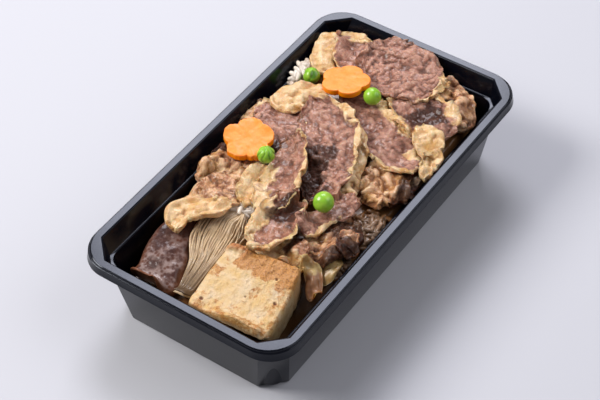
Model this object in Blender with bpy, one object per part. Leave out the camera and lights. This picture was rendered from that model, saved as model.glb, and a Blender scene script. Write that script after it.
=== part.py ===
"""Sukiyaki rice box: a black tray of rice topped with simmered beef, tofu and vegetables.

Lengths are in millimetres in the values below and in metres in the model. The origin is
the middle of the underside, +X runs along the tray, +Y across it and +Z up. The food is
piled from the bottom up. Every piece is a solid with a top and a bottom height over the
same grid of points, and each one is raised until it clears what lies under it.
"""

import math

import bmesh
import bpy
import numpy as np

MM = 0.001
GAP = 0.35

# Tray
RIM_HEIGHT = 41.0
RIM_HALF = (95.0, 49.5)
RIM_CHAMFER = 9.7
BAND = 3.8
BAND_RADIUS = 15.5
SKIRT_OUT = 4.9
SKIRT_DROP = 5.0
SKIRT_WALL = 0.8
BASE_HALF = (89.0, 43.6)
LEDGE_DROP = 8.2
LEDGE_OUTER = (90.6, 45.1)
LEDGE_CHAMFER = 4.2
LEDGE_INNER = (89.7, 44.2)
LEDGE_RADIUS = 7.0
FLOOR_HALF = (87.3, 41.8)
FLOOR_HEIGHT = 1.5
CORNER_STEPS = 6

# Height map on which the food is piled
MAP_STEP = 0.5
MAP_HALF = (100.0, 56.0)
COVER_FINENESS = 12
SETTLE_ROUNDS = 60
RICE_ROWS = 19
RICE_COLUMNS = 11

# Toppings
CARROT_RADIUS = 11.7
CARROT_THICK = 3.2
CARROT_NOTCH = 0.2
GRAIN_LENGTH = 6.0
GRAIN_WIDTH = 2.4
STRAND_WIDTH = 1.9

# Colours (linear red, green, blue), roughness and metallic value of each finish
FINISHES = {
    "black_plastic": ((0.012, 0.012, 0.014), 0.3),
    "rice_white": ((0.78, 0.74, 0.66), 0.45),
    "beef_brown": ((0.24, 0.12, 0.08), 0.4),
    "beef_fat": ((0.72, 0.50, 0.26), 0.35),
    "tofu_grilled": ((0.80, 0.56, 0.25), 0.6),
    "mushroom_brown": ((0.09, 0.04, 0.03), 0.25),
    "konjac_beige": ((0.40, 0.29, 0.17), 0.4),
    "onion_clear": ((0.70, 0.56, 0.34), 0.25),
    "carrot_orange": ((0.95, 0.33, 0.06), 0.4),
    "pea_green": ((0.22, 0.52, 0.05), 0.35),
}

# Slices in the order they are piled. A slice follows a path of (x, y, height, half
# width). The other values are its thickness, how far its sides droop, its lean across
# the path, its edge ruffle (height and count), and the height and spacing of the folds
# in its top.
SLICES = {
    "beef_wall_brown": {
        "path": ((-5, 40.5, 35, 3), (-12, 42, 35, 4), (-18, 42.5, 34, 4), (-24, 41.5, 33, 2.5)),
        "thick": 2.2, "droop": 0.5, "ruffle": (0.6, 2)},
    "beef_corner_brown": {
        "path": ((84, -14, 33, 3), (82, -23, 34, 5), (78, -32, 34, 5.5), (76, -39, 33, 4.5)),
        "thick": 2.4, "droop": 1.5, "ruffle": (0.4, 2)},
    "beef_corner_crumple": {
        "path": ((77, -20, 34, 5), (74, -28, 35, 8.5), (67, -35, 35, 9.5), (58, -39, 33, 7)),
        "thick": 4.0, "droop": 2.0, "folds": (1.5, 6.0)},
    "fat_right_wall": {
        "path": ((24, -39, 34, 2.5), (18, -42, 34, 4), (12, -43, 32, 2.5)),
        "thick": 2.0, "droop": 0.5, "ruffle": (0.4, 2)},
    "beef_right_crumple": {
        "path": ((23, -15, 34, 7), (18, -25, 34, 12), (10, -34, 33, 11), (3, -39, 31, 6)),
        "thick": 4.0, "droop": 2.0, "folds": (1.6, 6.5)},
    "onion_strip": {
        "path": ((-31, -35, 32, 2), (-37, -37.5, 32, 3.2), (-43, -37, 31, 3.2),
                 (-46, -33, 30, 2.5)),
        "thick": 2.0, "droop": 1.5, "ruffle": (0.3, 2)},
    "beef_front_crumple": {
        "path": ((-10, -30, 32, 5), (-22, -31, 32, 8), (-34, -29, 32, 9), (-43, -24, 31, 6)),
        "thick": 3.4, "droop": 1.5, "folds": (1.4, 6.0)},
    "fat_under_boat": {
        "path": ((-33, -1, 34, 7), (-40, -9, 34, 9), (-42.5, -19, 33, 7.5), (-42, -28, 32, 5)),
        "thick": 2.0, "droop": 1.5, "ruffle": (0.5, 3)},
    "onion_curl": {
        "path": ((-46.5, -27, 33, 2), (-45.7, -31, 34, 2.6), (-47.5, -35, 33, 2.6),
                 (-51.5, -37.8, 31, 2.2), (-56, -39.8, 29, 1.8)),
        "thick": 1.8, "droop": 1.0, "ruffle": (0.3, 2)},
    "beef_left_crumple": {
        "path": ((2, 27, 35, 5), (-9, 30, 36, 8), (-21, 34, 35, 8), (-32, 36.5, 34, 5.5)),
        "thick": 4.0, "droop": 2.0, "folds": (1.6, 6.5)},
    "beef_left_leaf": {
        "path": ((-14, 23, 36, 4.5), (-24, 22, 37, 8), (-33, 25.5, 36, 8.5), (-42, 32, 35, 7.5),
                 (-49, 37, 34, 4)),
        "thick": 2.0, "droop": 2.5, "ruffle": (0.8, 3)},
    "fat_frill_left": {
        "path": ((-61, 29, 35, 3.5), (-53, 32, 36, 6), (-47, 27, 36, 5), (-42, 20.5, 37, 3.5),
                 (-36, 18, 37, 2.5)),
        "thick": 2.0, "droop": -1.0, "ruffle": (1.4, 5)},
    "fat_left_centre": {
        "path": ((-7, 18.5, 38, 3), (-17, 17, 38, 4.5), (-25, 14.5, 37, 4.5), (-32, 11, 36, 3)),
        "thick": 2.0, "droop": 1.0, "ruffle": (0.8, 3)},
    "beef_wall_piece": {
        "path": ((28, 45, 37, 3), (21, 44.5, 37, 5), (15, 43, 37, 5), (9, 42, 36, 3)),
        "thick": 2.4, "droop": 0.5, "ruffle": (0.8, 2)},
    "fat_far_column": {
        "path": ((83, 42, 40, 5), (75, 39.5, 40, 6.5), (66, 35, 39, 6.5), (58, 29, 38, 4.5)),
        "thick": 2.4, "droop": 1.0, "ruffle": (0.5, 3)},
    "beef_far_left": {
        "path": ((88, 34.5, 40, 5), (81, 30, 40, 8.5), (74, 24, 39, 9), (67, 16, 38, 7)),
        "thick": 2.0, "droop": 0.8, "ruffle": (0.5, 3)},
    "beef_right_long": {
        "path": ((58, 14, 37, 8), (51, 6, 38, 9), (44, -4, 39, 9.5), (35, -17, 40, 11),
                 (30, -31, 39, 11), (31, -42, 36, 6)),
        "thick": 2.0, "droop": 1.5, "ruffle": (1.2, 4)},
    "beef_right_stripe": {
        "path": ((60, -5, 38, 7), (60, -17, 39, 12), (54, -29, 39, 13), (46, -38, 36, 8)),
        "thick": 2.0, "droop": 2.0, "ruffle": (0.7, 2)},
    "beef_far_leaf": {
        "path": ((78, 22, 40, 10), (78, 13, 41, 15), (77, 3, 41, 17.5), (75, -8, 41, 15),
                 (72.5, -17, 40, 12), (72, -25, 38, 7)),
        "thick": 2.0, "lean": 1.8, "ruffle": (0.6, 4)},
    "fat_knob_ribbon": {
        "path": ((48.5, -27.5, 42, 3.5), (44.5, -34, 43, 6.5), (38.5, -39.5, 42, 5),
                 (36, -43, 40, 3.7), (30, -45.5, 38, 3.6), (24, -44, 37, 3)),
        "thick": 2.6, "droop": 0.5, "ruffle": (1.0, 4)},
    "fat_centre_strip": {
        "path": ((34, 2, 39, 3.5), (28, -6, 40, 4), (16, -13, 40, 4.5), (4, -18, 40, 4.5),
                 (-5, -23.5, 38, 3.5)),
        "thick": 2.6, "droop": 1.5, "ruffle": (0.8, 5)},
    "beef_left_centre": {
        "path": ((24, 43, 37, 4), (22, 35, 39, 9), (16, 25.5, 40, 10.5), (7, 17, 40, 8),
                 (1, 12, 39, 4)),
        "thick": 2.0, "droop": 2.0, "ruffle": (0.8, 3)},
    "fat_centre_frill": {
        "path": ((21, 31, 41, 4.5), (30, 32, 42, 7.5), (38, 28, 42, 7.5), (44, 20, 41, 6)),
        "thick": 2.4, "droop": 1.5, "ruffle": (1.2, 4)},
    "beef_centre": {
        "path": ((38, 21, 41, 7), (28, 11, 42, 11.5), (17, 0, 42, 13), (5, -6, 41, 12),
                 (-6, -9.5, 39, 10), (-15, -10, 37, 7)),
        "thick": 1.8, "droop": -0.8, "lean": 1.0, "ruffle": (0.8, 5)},
    "beef_left_long": {
        "path": ((13, 15.5, 41, 2.5), (4, 12, 42, 5), (-10, 6.5, 42, 8), (-22, 4, 40, 9.5),
                 (-32, 4.5, 38, 7)),
        "thick": 1.8, "droop": 1.0, "lean": 1.2, "ruffle": (0.7, 4)},
    "beef_boat": {
        "path": ((-19, -7.5, 39, 5), (-29, -7, 39, 9), (-42, -8, 39, 9.5), (-55, -8, 38, 5)),
        "thick": 1.8, "droop": -2.0, "ruffle": (0.8, 3)},
    "beef_front_strip": {
        "path": ((-34, -19.5, 39, 4), (-26, -21, 40, 5.5), (-14, -25, 40, 6), (-3, -27, 39, 4)),
        "thick": 2.0, "droop": 1.5, "ruffle": (0.6, 3)},
    "beef_small_scrap": {
        "path": ((-20, -35.5, 35, 2.5), (-26, -38, 35, 4), (-33, -41, 33, 3)),
        "thick": 2.0, "droop": 0.5, "ruffle": (0.8, 2)},
}
SLICE_ROWS = 10
SLICE_COLUMNS = (5, 6)
WIDE_SLICE = 7.0
SLICE_FINISH = {"beef": "beef_brown", "fat": "beef_fat", "onion": "onion_clear"}
MUSHROOM = ((-44.5, 34, 32, 6), (-55, 32, 32, 8.5), (-66.5, 29, 31, 10.5),
            (-77, 25.5, 29, 11), (-86.2, 24.5, 27.5, 13))
KONJAC = ((-35, 12, 34, 8.5), (-43, 14.5, 34, 12), (-53, 13.5, 33, 11), (-64, 10.5, 32, 7.5),
          (-75, 8.8, 31, 5.4), (-86.4, 8, 28, 4.4))
STRAND_PLACES = (-0.62, -0.3, 0.02, 0.34, 0.66)
TOFU_CORNERS = ((-90.3, 1.0), (-55.0, 2.5), (-49.5, -31.0), (-88.0, -39.0))
TOFU_TOP = (33.8, 39.6)
TOFU_BOTTOM = 23.5

# Toppings: middle (x, y), then a carrot's lean towards the tray's (-X, -Y) corner and
# its turn in degrees, or a pea's radius
CARROTS = {"carrot_right": ((53.4, 15.9), -8.0, 12.0), "carrot_left": ((-3.0, 31.0), 8.0, 30.0)}
PEAS = {"pea_wrinkled": ((52.3, 34.5), 4.1), "pea_round": ((51.8, 0.0), 4.2),
        "pea_front": ((-18.2, -20.3), 4.7), "pea_left": ((-8.9, 17.0), 4.1)}

# Places where bare rice shows: middle (x, y), reach and number of grains
RICE_SHOWS = (((57, 43), (6, 2), 8), ((-37, 11), (5, 4), 9), ((-4, -40), (10, 3), 11),
              ((-38, -40), (7, 3), 3), ((-44, -38), (4, 2), 2))


def material(name):
    colour, roughness = FINISHES[name]
    made = bpy.data.materials.get(name) or bpy.data.materials.new(name)
    made.use_nodes = True
    shader = made.node_tree.nodes["Principled BSDF"]
    shader.inputs["Base Color"].default_value = (*colour, 1.0)
    shader.inputs["Roughness"].default_value = roughness
    shader.inputs["Metallic"].default_value = 0.0
    return made


def add_object(name, vertices, faces, finish):
    """Makes one named object from points in millimetres."""
    mesh = bpy.data.meshes.new(name)
    mesh.from_pydata((np.asarray(vertices, float) * MM).tolist(), [], faces)
    mesh.materials.append(material(finish))
    mesh.validate()
    thing = bpy.data.objects.new(name, mesh)
    bpy.context.scene.collection.objects.link(thing)
    return thing


def smooth_between(low, high, value):
    """0 below low, 1 above high, with an S-shaped rise between them."""
    share = np.clip((value - low) / (high - low), 0.0, 1.0)
    return share * share * (3.0 - 2.0 * share)


def waves(points, spacing, seed, count=7):
    """Smooth unevenness from -1 to 1: a sum of plane waves in seeded directions."""
    draw = np.random.default_rng(seed)
    angle = draw.uniform(0, 2 * math.pi, count)
    pitch = spacing * draw.uniform(0.7, 1.5, count)
    shift = draw.uniform(0, 2 * math.pi, count)
    along = points[..., 0, None] * np.cos(angle) + points[..., 1, None] * np.sin(angle)
    return np.sin(2 * math.pi * along / pitch + shift).sum(-1) / math.sqrt(count) / 1.6


def ring(half, corner, height, rounded):
    """One closed ring of the tray: a rectangle with its corners cut or rounded."""
    points = []
    for turn, side in enumerate(((1, 1), (-1, 1), (-1, -1), (1, -1))):
        for step in range(CORNER_STEPS + 1):
            share = step / CORNER_STEPS
            if turn % 2 == 1:
                share = 1.0 - share
            if rounded:
                inward_x = corner * (1.0 - math.cos(share * math.pi / 2))
                inward_y = corner * (1.0 - math.sin(share * math.pi / 2))
            else:
                inward_x = corner * share
                inward_y = corner * (1.0 - share)
            points.append((side[0] * (half[0] - inward_x), side[1] * (half[1] - inward_y), height))
    return points


def grown(half, amount):
    return (half[0] + amount, half[1] + amount)


def build_tray():
    """The tray is rings joined one to the next: up the outside, over the rim, down inside."""
    top = RIM_HEIGHT
    lip = top - SKIRT_DROP
    radius = BAND_RADIUS
    rings = [
        ring(BASE_HALF, RIM_CHAMFER, 0.0, False),
        ring(grown(RIM_HALF, -0.4), RIM_CHAMFER, top - 2.4, False),
        ring(grown(RIM_HALF, SKIRT_OUT - SKIRT_WALL - 0.4), radius, top - 1.5, True),
        ring(grown(RIM_HALF, SKIRT_OUT - SKIRT_WALL), radius, lip, True),
        ring(grown(RIM_HALF, SKIRT_OUT), radius, lip, True),
        ring(grown(RIM_HALF, SKIRT_OUT - 0.2), radius, lip + 0.6, True),
        ring(grown(RIM_HALF, SKIRT_OUT - 0.5), radius, top - 0.9, True),
        ring(grown(RIM_HALF, BAND + 0.1), radius, top - 0.9, True),
        ring(grown(RIM_HALF, BAND), radius, top - 0.2, True),
        ring(grown(RIM_HALF, BAND - 0.3), radius, top, True),
        ring(RIM_HALF, RIM_CHAMFER, top, False),
        ring(LEDGE_OUTER, LEDGE_CHAMFER, top - LEDGE_DROP, False),
        ring(LEDGE_INNER, LEDGE_RADIUS, top - LEDGE_DROP - 0.3, True),
        ring(FLOOR_HALF, LEDGE_RADIUS, FLOOR_HEIGHT + 0.6, True),
        ring(grown(FLOOR_HALF, -0.6), LEDGE_RADIUS, FLOOR_HEIGHT, True),
    ]
    size = len(rings[0])
    vertices = [point for one in rings for point in one]
    faces = [tuple(range(size))[::-1]]
    for level in range(len(rings) - 1):
        for step in range(size):
            here = level * size + step
            after = level * size + (step + 1) % size
            faces.append((here, after, after + size, here + size))
    last = (len(rings) - 1) * size
    faces.append(tuple(range(last, last + size)))
    tray = add_object("tray", vertices, faces, "black_plastic")
    tray.data.shade_smooth()
    tray.data.set_sharp_from_angle(angle=math.radians(20))


class HeightMap:
    """Height of the pile so far, on a square grid, kept as the highest point in each cell."""

    def __init__(self):
        self.count = tuple(int(2 * half / MAP_STEP) + 1 for half in MAP_HALF)
        x = np.linspace(-MAP_HALF[0], MAP_HALF[0], self.count[0])
        y = np.linspace(-MAP_HALF[1], MAP_HALF[1], self.count[1])
        self.height = tray_inside(*np.meshgrid(x, y, indexing="ij"))

    def cell(self, points):
        column = np.floor((points[..., 0] + MAP_HALF[0]) / MAP_STEP).astype(int)
        row = np.floor((points[..., 1] + MAP_HALF[1]) / MAP_STEP).astype(int)
        return np.clip(column, 0, self.count[0] - 2), np.clip(row, 0, self.count[1] - 2)

    def read(self, points):
        column, row = self.cell(points)
        corners = [self.height[column + a, row + b] for a in (0, 1) for b in (0, 1)]
        return np.max(corners, axis=0)

    def cover(self, points):
        column, row = self.cell(points)
        for a in (0, 1):
            for b in (0, 1):
                np.maximum.at(self.height, (column + a, row + b), points[..., 2])

    def cover_grid(self, grid):
        triangles = grid_triangles(*grid.shape[:2])
        self.cover(sampled(grid.reshape(-1, 3)[triangles], COVER_FINENESS)[0])

    def cover_object(self, thing):
        """Covers with an object whose faces are all triangles."""
        corners = np.array([vertex.co for vertex in thing.data.vertices]) / MM
        faces = np.array([face.vertices[:] for face in thing.data.polygons])
        self.cover(sampled(corners[faces], COVER_FINENESS)[0])


def tray_inside(x, y):
    """Height of the tray's inner surface over (x, y), found from the distance to its wall."""
    over_x = np.abs(x)
    over_y = np.abs(y)
    lower = rounded_distance(over_x, over_y, FLOOR_HALF, LEDGE_RADIUS)
    upper = np.maximum(over_x - LEDGE_OUTER[0], over_y - LEDGE_OUTER[1])
    cut = (over_x + over_y - sum(LEDGE_OUTER) + LEDGE_CHAMFER) / math.sqrt(2)
    upper = np.maximum(upper, cut)
    ledge = RIM_HEIGHT - LEDGE_DROP
    slope = LEDGE_DROP / (RIM_HALF[0] - LEDGE_OUTER[0])
    height = np.where(lower > -0.8, ledge, FLOOR_HEIGHT)
    return np.where(upper > -0.3, ledge + np.clip(upper + 0.3, 0, None) * slope + 0.2, height)


def rounded_distance(over_x, over_y, half, radius):
    """Distance outside (positive) or inside (negative) a rectangle with round corners."""
    dx = over_x - (half[0] - radius)
    dy = over_y - (half[1] - radius)
    outside = np.hypot(np.maximum(dx, 0), np.maximum(dy, 0))
    return outside + np.minimum(np.maximum(dx, dy), 0) - radius


def grid_triangles(rows, columns):
    """Triangles of a grid of points, all split the same way."""
    index = np.arange(rows * columns).reshape(rows, columns)
    a, b = index[:-1, :-1].ravel(), index[1:, :-1].ravel()
    c, d = index[1:, 1:].ravel(), index[:-1, 1:].ravel()
    return np.concatenate([np.stack([a, b, c], 1), np.stack([a, c, d], 1)])


def sampled(corners, fineness):
    """Points spread over triangles, with each one's weights on the three corners."""
    shares = [(i / fineness, j / fineness) for i in range(fineness + 1)
              for j in range(fineness + 1 - i)]
    weights = np.array([(1 - s - t, s, t) for s, t in shares])
    return np.einsum("kw,twc->tkc", weights, corners), weights


def with_height(place, height):
    """Adds a height, one for all or one for each point, to a grid of (x, y) points."""
    return np.dstack([place, np.broadcast_to(height, place.shape[:2])])


def settle(place, height, pile):
    """Grid of points at these heights, raised until every triangle clears the pile."""
    rows, columns = place.shape[:2]
    triangles = grid_triangles(rows, columns)
    flat = with_height(place, height).reshape(-1, 3)
    for _ in range(SETTLE_ROUNDS):
        points, weights = sampled(flat[triangles], 10)
        short = pile.read(points) + GAP - points[..., 2]
        if short.max() < 0.01:
            break
        worst = short.argmax(1)
        need = np.maximum(short[np.arange(len(short)), worst], 0.0)
        share = weights[worst]
        lift = need[:, None] * share / (share ** 2).sum(1)[:, None]
        raised = np.zeros(len(flat))
        np.maximum.at(raised, triangles.ravel(), lift.ravel())
        flat[:, 2] += raised
    return flat.reshape(rows, columns, 3)


def close_slab(name, bottom, top, finish):
    """Closed solid between two grids over the same points."""
    rows, columns = bottom.shape[:2]
    triangles = grid_triangles(rows, columns)
    size = rows * columns
    index = np.arange(size).reshape(rows, columns)
    edge = np.concatenate([index[:-1, 0], index[-1, :-1], index[:0:-1, -1], index[0, :0:-1]])
    after = np.roll(edge, -1)
    sides = np.concatenate([np.stack([edge, after, after + size], 1),
                            np.stack([edge, after + size, edge + size], 1)])
    faces = np.concatenate([triangles[:, ::-1], triangles + size, sides])
    if not turns_left(bottom):
        faces = faces[:, ::-1]
    vertices = np.concatenate([bottom.reshape(-1, 3), top.reshape(-1, 3)])
    return add_object(name, vertices, faces.tolist(), finish)


def along_path(path, share):
    """Reads a smooth path of stations at shares from 0 to 1, by Catmull-Rom blending."""
    stations = np.array(path, float)
    stations = np.vstack([2 * stations[0] - stations[1], stations, 2 * stations[-1] - stations[-2]])
    place = np.clip(share, 0, 1) * (len(path) - 1)
    first = np.minimum(place.astype(int), len(path) - 2)
    t = (place - first)[:, None]
    p0, p1, p2, p3 = (stations[first + k] for k in range(4))
    return 0.5 * (2 * p1 + (p2 - p0) * t + (2 * p0 - 5 * p1 + 4 * p2 - p3) * t ** 2
                  + (3 * p1 - p0 - 3 * p2 + p3) * t ** 3)


def slice_grid(path, rows, columns, seed):
    """Grid over a slice: u along its path, v from -1 to 1 across its uneven width."""
    u = np.linspace(0, 1, rows)
    v = np.linspace(-1, 1, columns)
    centre = along_path(path, u)
    step = np.gradient(centre[:, :2], axis=0)
    across = np.stack([-step[:, 1], step[:, 0]], 1)
    across /= np.linalg.norm(across, axis=1)[:, None]
    end = np.sqrt(np.clip(1 - np.abs(2 * u - 1) ** 8, 0.3, 1))
    half = np.clip(centre[:, 3], 1.5, None) * end
    place = centre[:, None, :2] + v[None, :, None] * (half[:, None] * across)[:, None]
    uneven = waves(place, 9.0, seed)
    reach = 1 + 0.14 * uneven * np.abs(v)
    place = centre[:, None, :2] + (v * reach)[..., None] * (half[:, None] * across)[:, None]
    return place, centre[:, 2], u, v


def keep_inside(place, height):
    """Pulls points in from the wall, whose slope depends on the height."""
    share = np.clip((height - (RIM_HEIGHT - LEDGE_DROP)) / LEDGE_DROP, 0, 1)
    limits = [inner - 1.0 + share * (rim - outer)
              for inner, outer, rim in zip(LEDGE_INNER, LEDGE_OUTER, RIM_HALF)]
    x = np.clip(place[..., 0], -limits[0], limits[0])
    y = np.clip(place[..., 1], -limits[1], limits[1])
    over = np.clip(np.abs(x) + np.abs(y) - (limits[0] + limits[1] - RIM_CHAMFER), 0, None) / 2
    return np.stack([x - np.sign(x) * over, y - np.sign(y) * over], -1)


def build_slice(name, pile, seed):
    """One slice of meat, fat or onion, draped on the pile."""
    spec = SLICES[name]
    wide = max(station[3] for station in spec["path"]) > WIDE_SLICE
    place, height, u, v = slice_grid(spec["path"], SLICE_ROWS, SLICE_COLUMNS[wide], seed)
    side = np.abs(v)[None, :]
    form = height[:, None] - spec.get("droop", 0.0) * side ** 2 + spec.get("lean", 0.0) * v[None, :]
    tall, count = spec.get("ruffle", (0.0, 1))
    phase = np.where(v > 0, 1.3, 0.0)[None, :] + seed
    form = form + tall * side ** 2 * np.sin(2 * math.pi * count * u[:, None] + phase)
    thick = np.full(form.shape, spec["thick"])
    if "folds" in spec:
        fold_height, spacing = spec["folds"]
        crest = np.abs(waves(place, 2 * spacing, seed + 50, 5))
        thick = thick + fold_height * (1 - 2 * crest)
    thick = np.maximum(thick * (1 - 0.35 * side ** 4), 1.2)
    place = keep_inside(place, form - thick)
    bottom = settle(place, form - thick, pile)
    top = with_height(place, bottom[..., 2] + thick)
    close_slab(name, bottom, top, SLICE_FINISH[name.split("_")[0]])
    pile.cover_grid(top)


def turns_left(place):
    """True where the grid's triangles run anticlockwise seen from above."""
    a, b, c = place[0, 0], place[-1, 0], place[-1, -1]
    return (b[0] - a[0]) * (c[1] - a[1]) - (b[1] - a[1]) * (c[0] - a[0]) > 0


def rice_top(x, y):
    """Rice rises towards the far end and falls away at the near right corner."""
    middle = 1 - (np.abs(y) / 46.0) ** 2.5
    top = 29.5 + 1.5 * middle + 2.0 * smooth_between(0, 70, x)
    top = top - 9.0 * smooth_between(-40, -62, x)
    top = top - 14.0 * smooth_between(-40, -56, x) * smooth_between(-24, -38, y)
    return top - 6.0 * smooth_between(76, 89, x)


def rice_height(spot):
    """Height of the rice with the unevenness of its surface."""
    return rice_top(spot[..., 0], spot[..., 1]) + 0.5 * waves(spot, 11.0, 3)


def build_rice(pile):
    """Bed of rice, with grains fused on where it shows."""
    grid = np.stack(np.meshgrid(np.linspace(-1, 1, RICE_ROWS), np.linspace(-1, 1, RICE_COLUMNS),
                                indexing="ij"), -1)
    squeeze = 1 - 0.09 * (grid[..., 0] * grid[..., 1]) ** 8
    half = np.array(grown(FLOOR_HALF, -0.7))
    place = grid * half * squeeze[..., None]
    bottom = with_height(place, FLOOR_HEIGHT + 0.7)
    core = close_slab("rice", bottom, with_height(place, rice_height(place)), "rice_white")
    draw = np.random.default_rng(11)
    grains = []
    for middle, reach, count in RICE_SHOWS:
        for _ in range(count):
            spot = np.array(middle) + draw.uniform(-1, 1, 2) * reach
            spot = np.clip(spot, 3.2 - half, half - 3.2)
            grains.append(grain_mesh((*spot, float(rice_height(spot)) + 0.35), draw))
    fuse(core, grains)
    triangulated(core)
    pile.cover_object(core)


def triangulated(thing):
    """Splits an object's faces into triangles."""
    work = bmesh.new()
    work.from_mesh(thing.data)
    bmesh.ops.triangulate(work, faces=work.faces)
    work.to_mesh(thing.data)
    work.free()


def grain_mesh(place, draw):
    """A grain of rice: a small spindle of 5 sides, lying at a slight tilt."""
    turn = draw.uniform(0, math.pi)
    rise = draw.uniform(-0.35, 0.35)
    along = np.array([math.cos(turn) * math.cos(rise), math.sin(turn) * math.cos(rise), math.sin(rise)])
    across = np.array([-math.sin(turn), math.cos(turn), 0.0])
    up = np.cross(along, across)
    vertices = [np.array(place) - along * GRAIN_LENGTH / 2]
    for share, width in ((-0.33, 0.8), (0.0, 1.0), (0.33, 0.8)):
        for side in range(5):
            angle = 2 * math.pi * side / 5 + 0.3
            spoke = across * math.cos(angle) + up * math.sin(angle)
            vertices.append(np.array(place) + along * share * GRAIN_LENGTH
                            + spoke * width * GRAIN_WIDTH / 2)
    vertices.append(np.array(place) + along * GRAIN_LENGTH / 2)
    faces = []
    for side in range(5):
        after = (side + 1) % 5
        faces.append((0, 1 + after, 1 + side))
        for level in (0, 5):
            faces.append((1 + level + side, 1 + level + after, 6 + level + after))
            faces.append((1 + level + side, 6 + level + after, 6 + level + side))
        faces.append((11 + side, 11 + after, 16))
    return add_object("grain", vertices, faces, "rice_white")


def fuse(core, pieces):
    """Joins small pieces to their core with one Boolean union and removes them."""
    group = bpy.data.collections.new("to_fuse")
    bpy.context.scene.collection.children.link(group)
    for piece in pieces:
        bpy.context.scene.collection.objects.unlink(piece)
        group.objects.link(piece)
    union = core.modifiers.new("union", "BOOLEAN")
    union.operation = "UNION"
    union.operand_type = "COLLECTION"
    union.collection = group
    union.solver = "MANIFOLD"
    bpy.context.view_layer.update()
    shape = bpy.data.meshes.new_from_object(core.evaluated_get(bpy.context.evaluated_depsgraph_get()))
    core.modifiers.clear()
    core.data = shape
    for piece in list(group.objects):
        bpy.data.objects.remove(piece)
    bpy.data.collections.remove(group)
    keep_largest(core)


def keep_largest(thing):
    """Drops loose scraps and sealed hollows, so that one closed body is left."""
    work = bmesh.new()
    work.from_mesh(thing.data)
    left = set(work.verts)
    groups = []
    while left:
        group = {left.pop()}
        front = list(group)
        while front:
            vertex = front.pop()
            for link in vertex.link_edges:
                other = link.other_vert(vertex)
                if other in left:
                    left.discard(other)
                    group.add(other)
                    front.append(other)
        groups.append(group)
    groups.sort(key=len)
    scraps = [vertex for group in groups[:-1] for vertex in group]
    bmesh.ops.delete(work, geom=scraps, context="VERTS")
    work.to_mesh(thing.data)
    work.free()


def build_mushroom(pile):
    """Thick slice of simmered mushroom with rounded edges."""
    place, height, u, v = slice_grid(MUSHROOM, 13, 8, 21)
    across = np.abs(v)[None, :]
    ends = np.abs(2 * u - 1)[:, None]
    crown = np.sqrt((1 - 0.8 * across ** 6) * (1 - 0.7 * ends ** 12))
    top_height = height[:, None] - 4.0 * (1 - crown) + 0.4 * waves(place, 12.0, 22)
    place = keep_inside(place, RIM_HEIGHT - LEDGE_DROP)
    bottom = settle(place, height[:, None] - 7.0, pile)
    top = with_height(place, np.maximum(top_height, bottom[..., 2] + 1.5))
    close_slab("mushroom", bottom, top, "mushroom_brown")
    pile.cover_grid(top)


def build_konjac(pile):
    """Bundle of konjac noodles: a core that follows the bundle, with noodles fused on."""
    place, height, u, v = slice_grid(KONJAC, 11, 7, 31)
    dome = np.sqrt(1 - 0.85 * np.abs(v) ** 3)[None, :]
    place = keep_inside(place, height[:, None] - 8.0)
    bottom = settle(place, height[:, None] - 7.5, pile)
    form = height[:, None] - 1.0 - 3.5 * (1 - dome)
    top = with_height(place, np.maximum(form, bottom[..., 2] + 1.5))
    core = close_slab("konjac_noodles", bottom, top, "konjac_beige")
    fuse(core, [strand_mesh(top, offset) for offset in STRAND_PLACES])
    triangulated(core)
    pile.cover_object(core)


def strand_mesh(top, offset):
    """One noodle of 5 sides along the bundle's top grid, half sunk in its core."""
    rows, columns = top.shape[:2]
    row = np.arange(rows)
    sway = offset + 0.08 * np.sin(0.6 * row + 9 * offset)
    column = (sway + 1) / 2 * (columns - 1)
    first = np.minimum(column.astype(int), columns - 2)
    share = (column - first)[:, None]
    centre = top[row, first] * (1 - share) + top[row, first + 1] * share
    centre[:, 2] += 0.2
    step = np.gradient(centre[:, :2], axis=0)
    across = np.stack([-step[:, 1], step[:, 0]], 1)
    across /= np.linalg.norm(across, axis=1)[:, None]
    centre = centre[:-1]
    vertices = []
    for index, middle in enumerate(centre):
        for side in range(5):
            angle = 2 * math.pi * side / 5 + math.pi / 2
            shift = across[index] * math.cos(angle) * STRAND_WIDTH / 2
            vertices.append((middle[0] + shift[0], middle[1] + shift[1],
                             middle[2] + math.sin(angle) * STRAND_WIDTH / 2))
    last = len(vertices)
    faces = [tuple(range(5))[::-1], tuple(range(last - 5, last))]
    for index in range(len(centre) - 1):
        for side in range(5):
            here = 5 * index + side
            after = 5 * index + (side + 1) % 5
            faces.append((here, after, after + 5, here + 5))
    return add_object("strand", vertices, faces, "konjac_beige")


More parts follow.
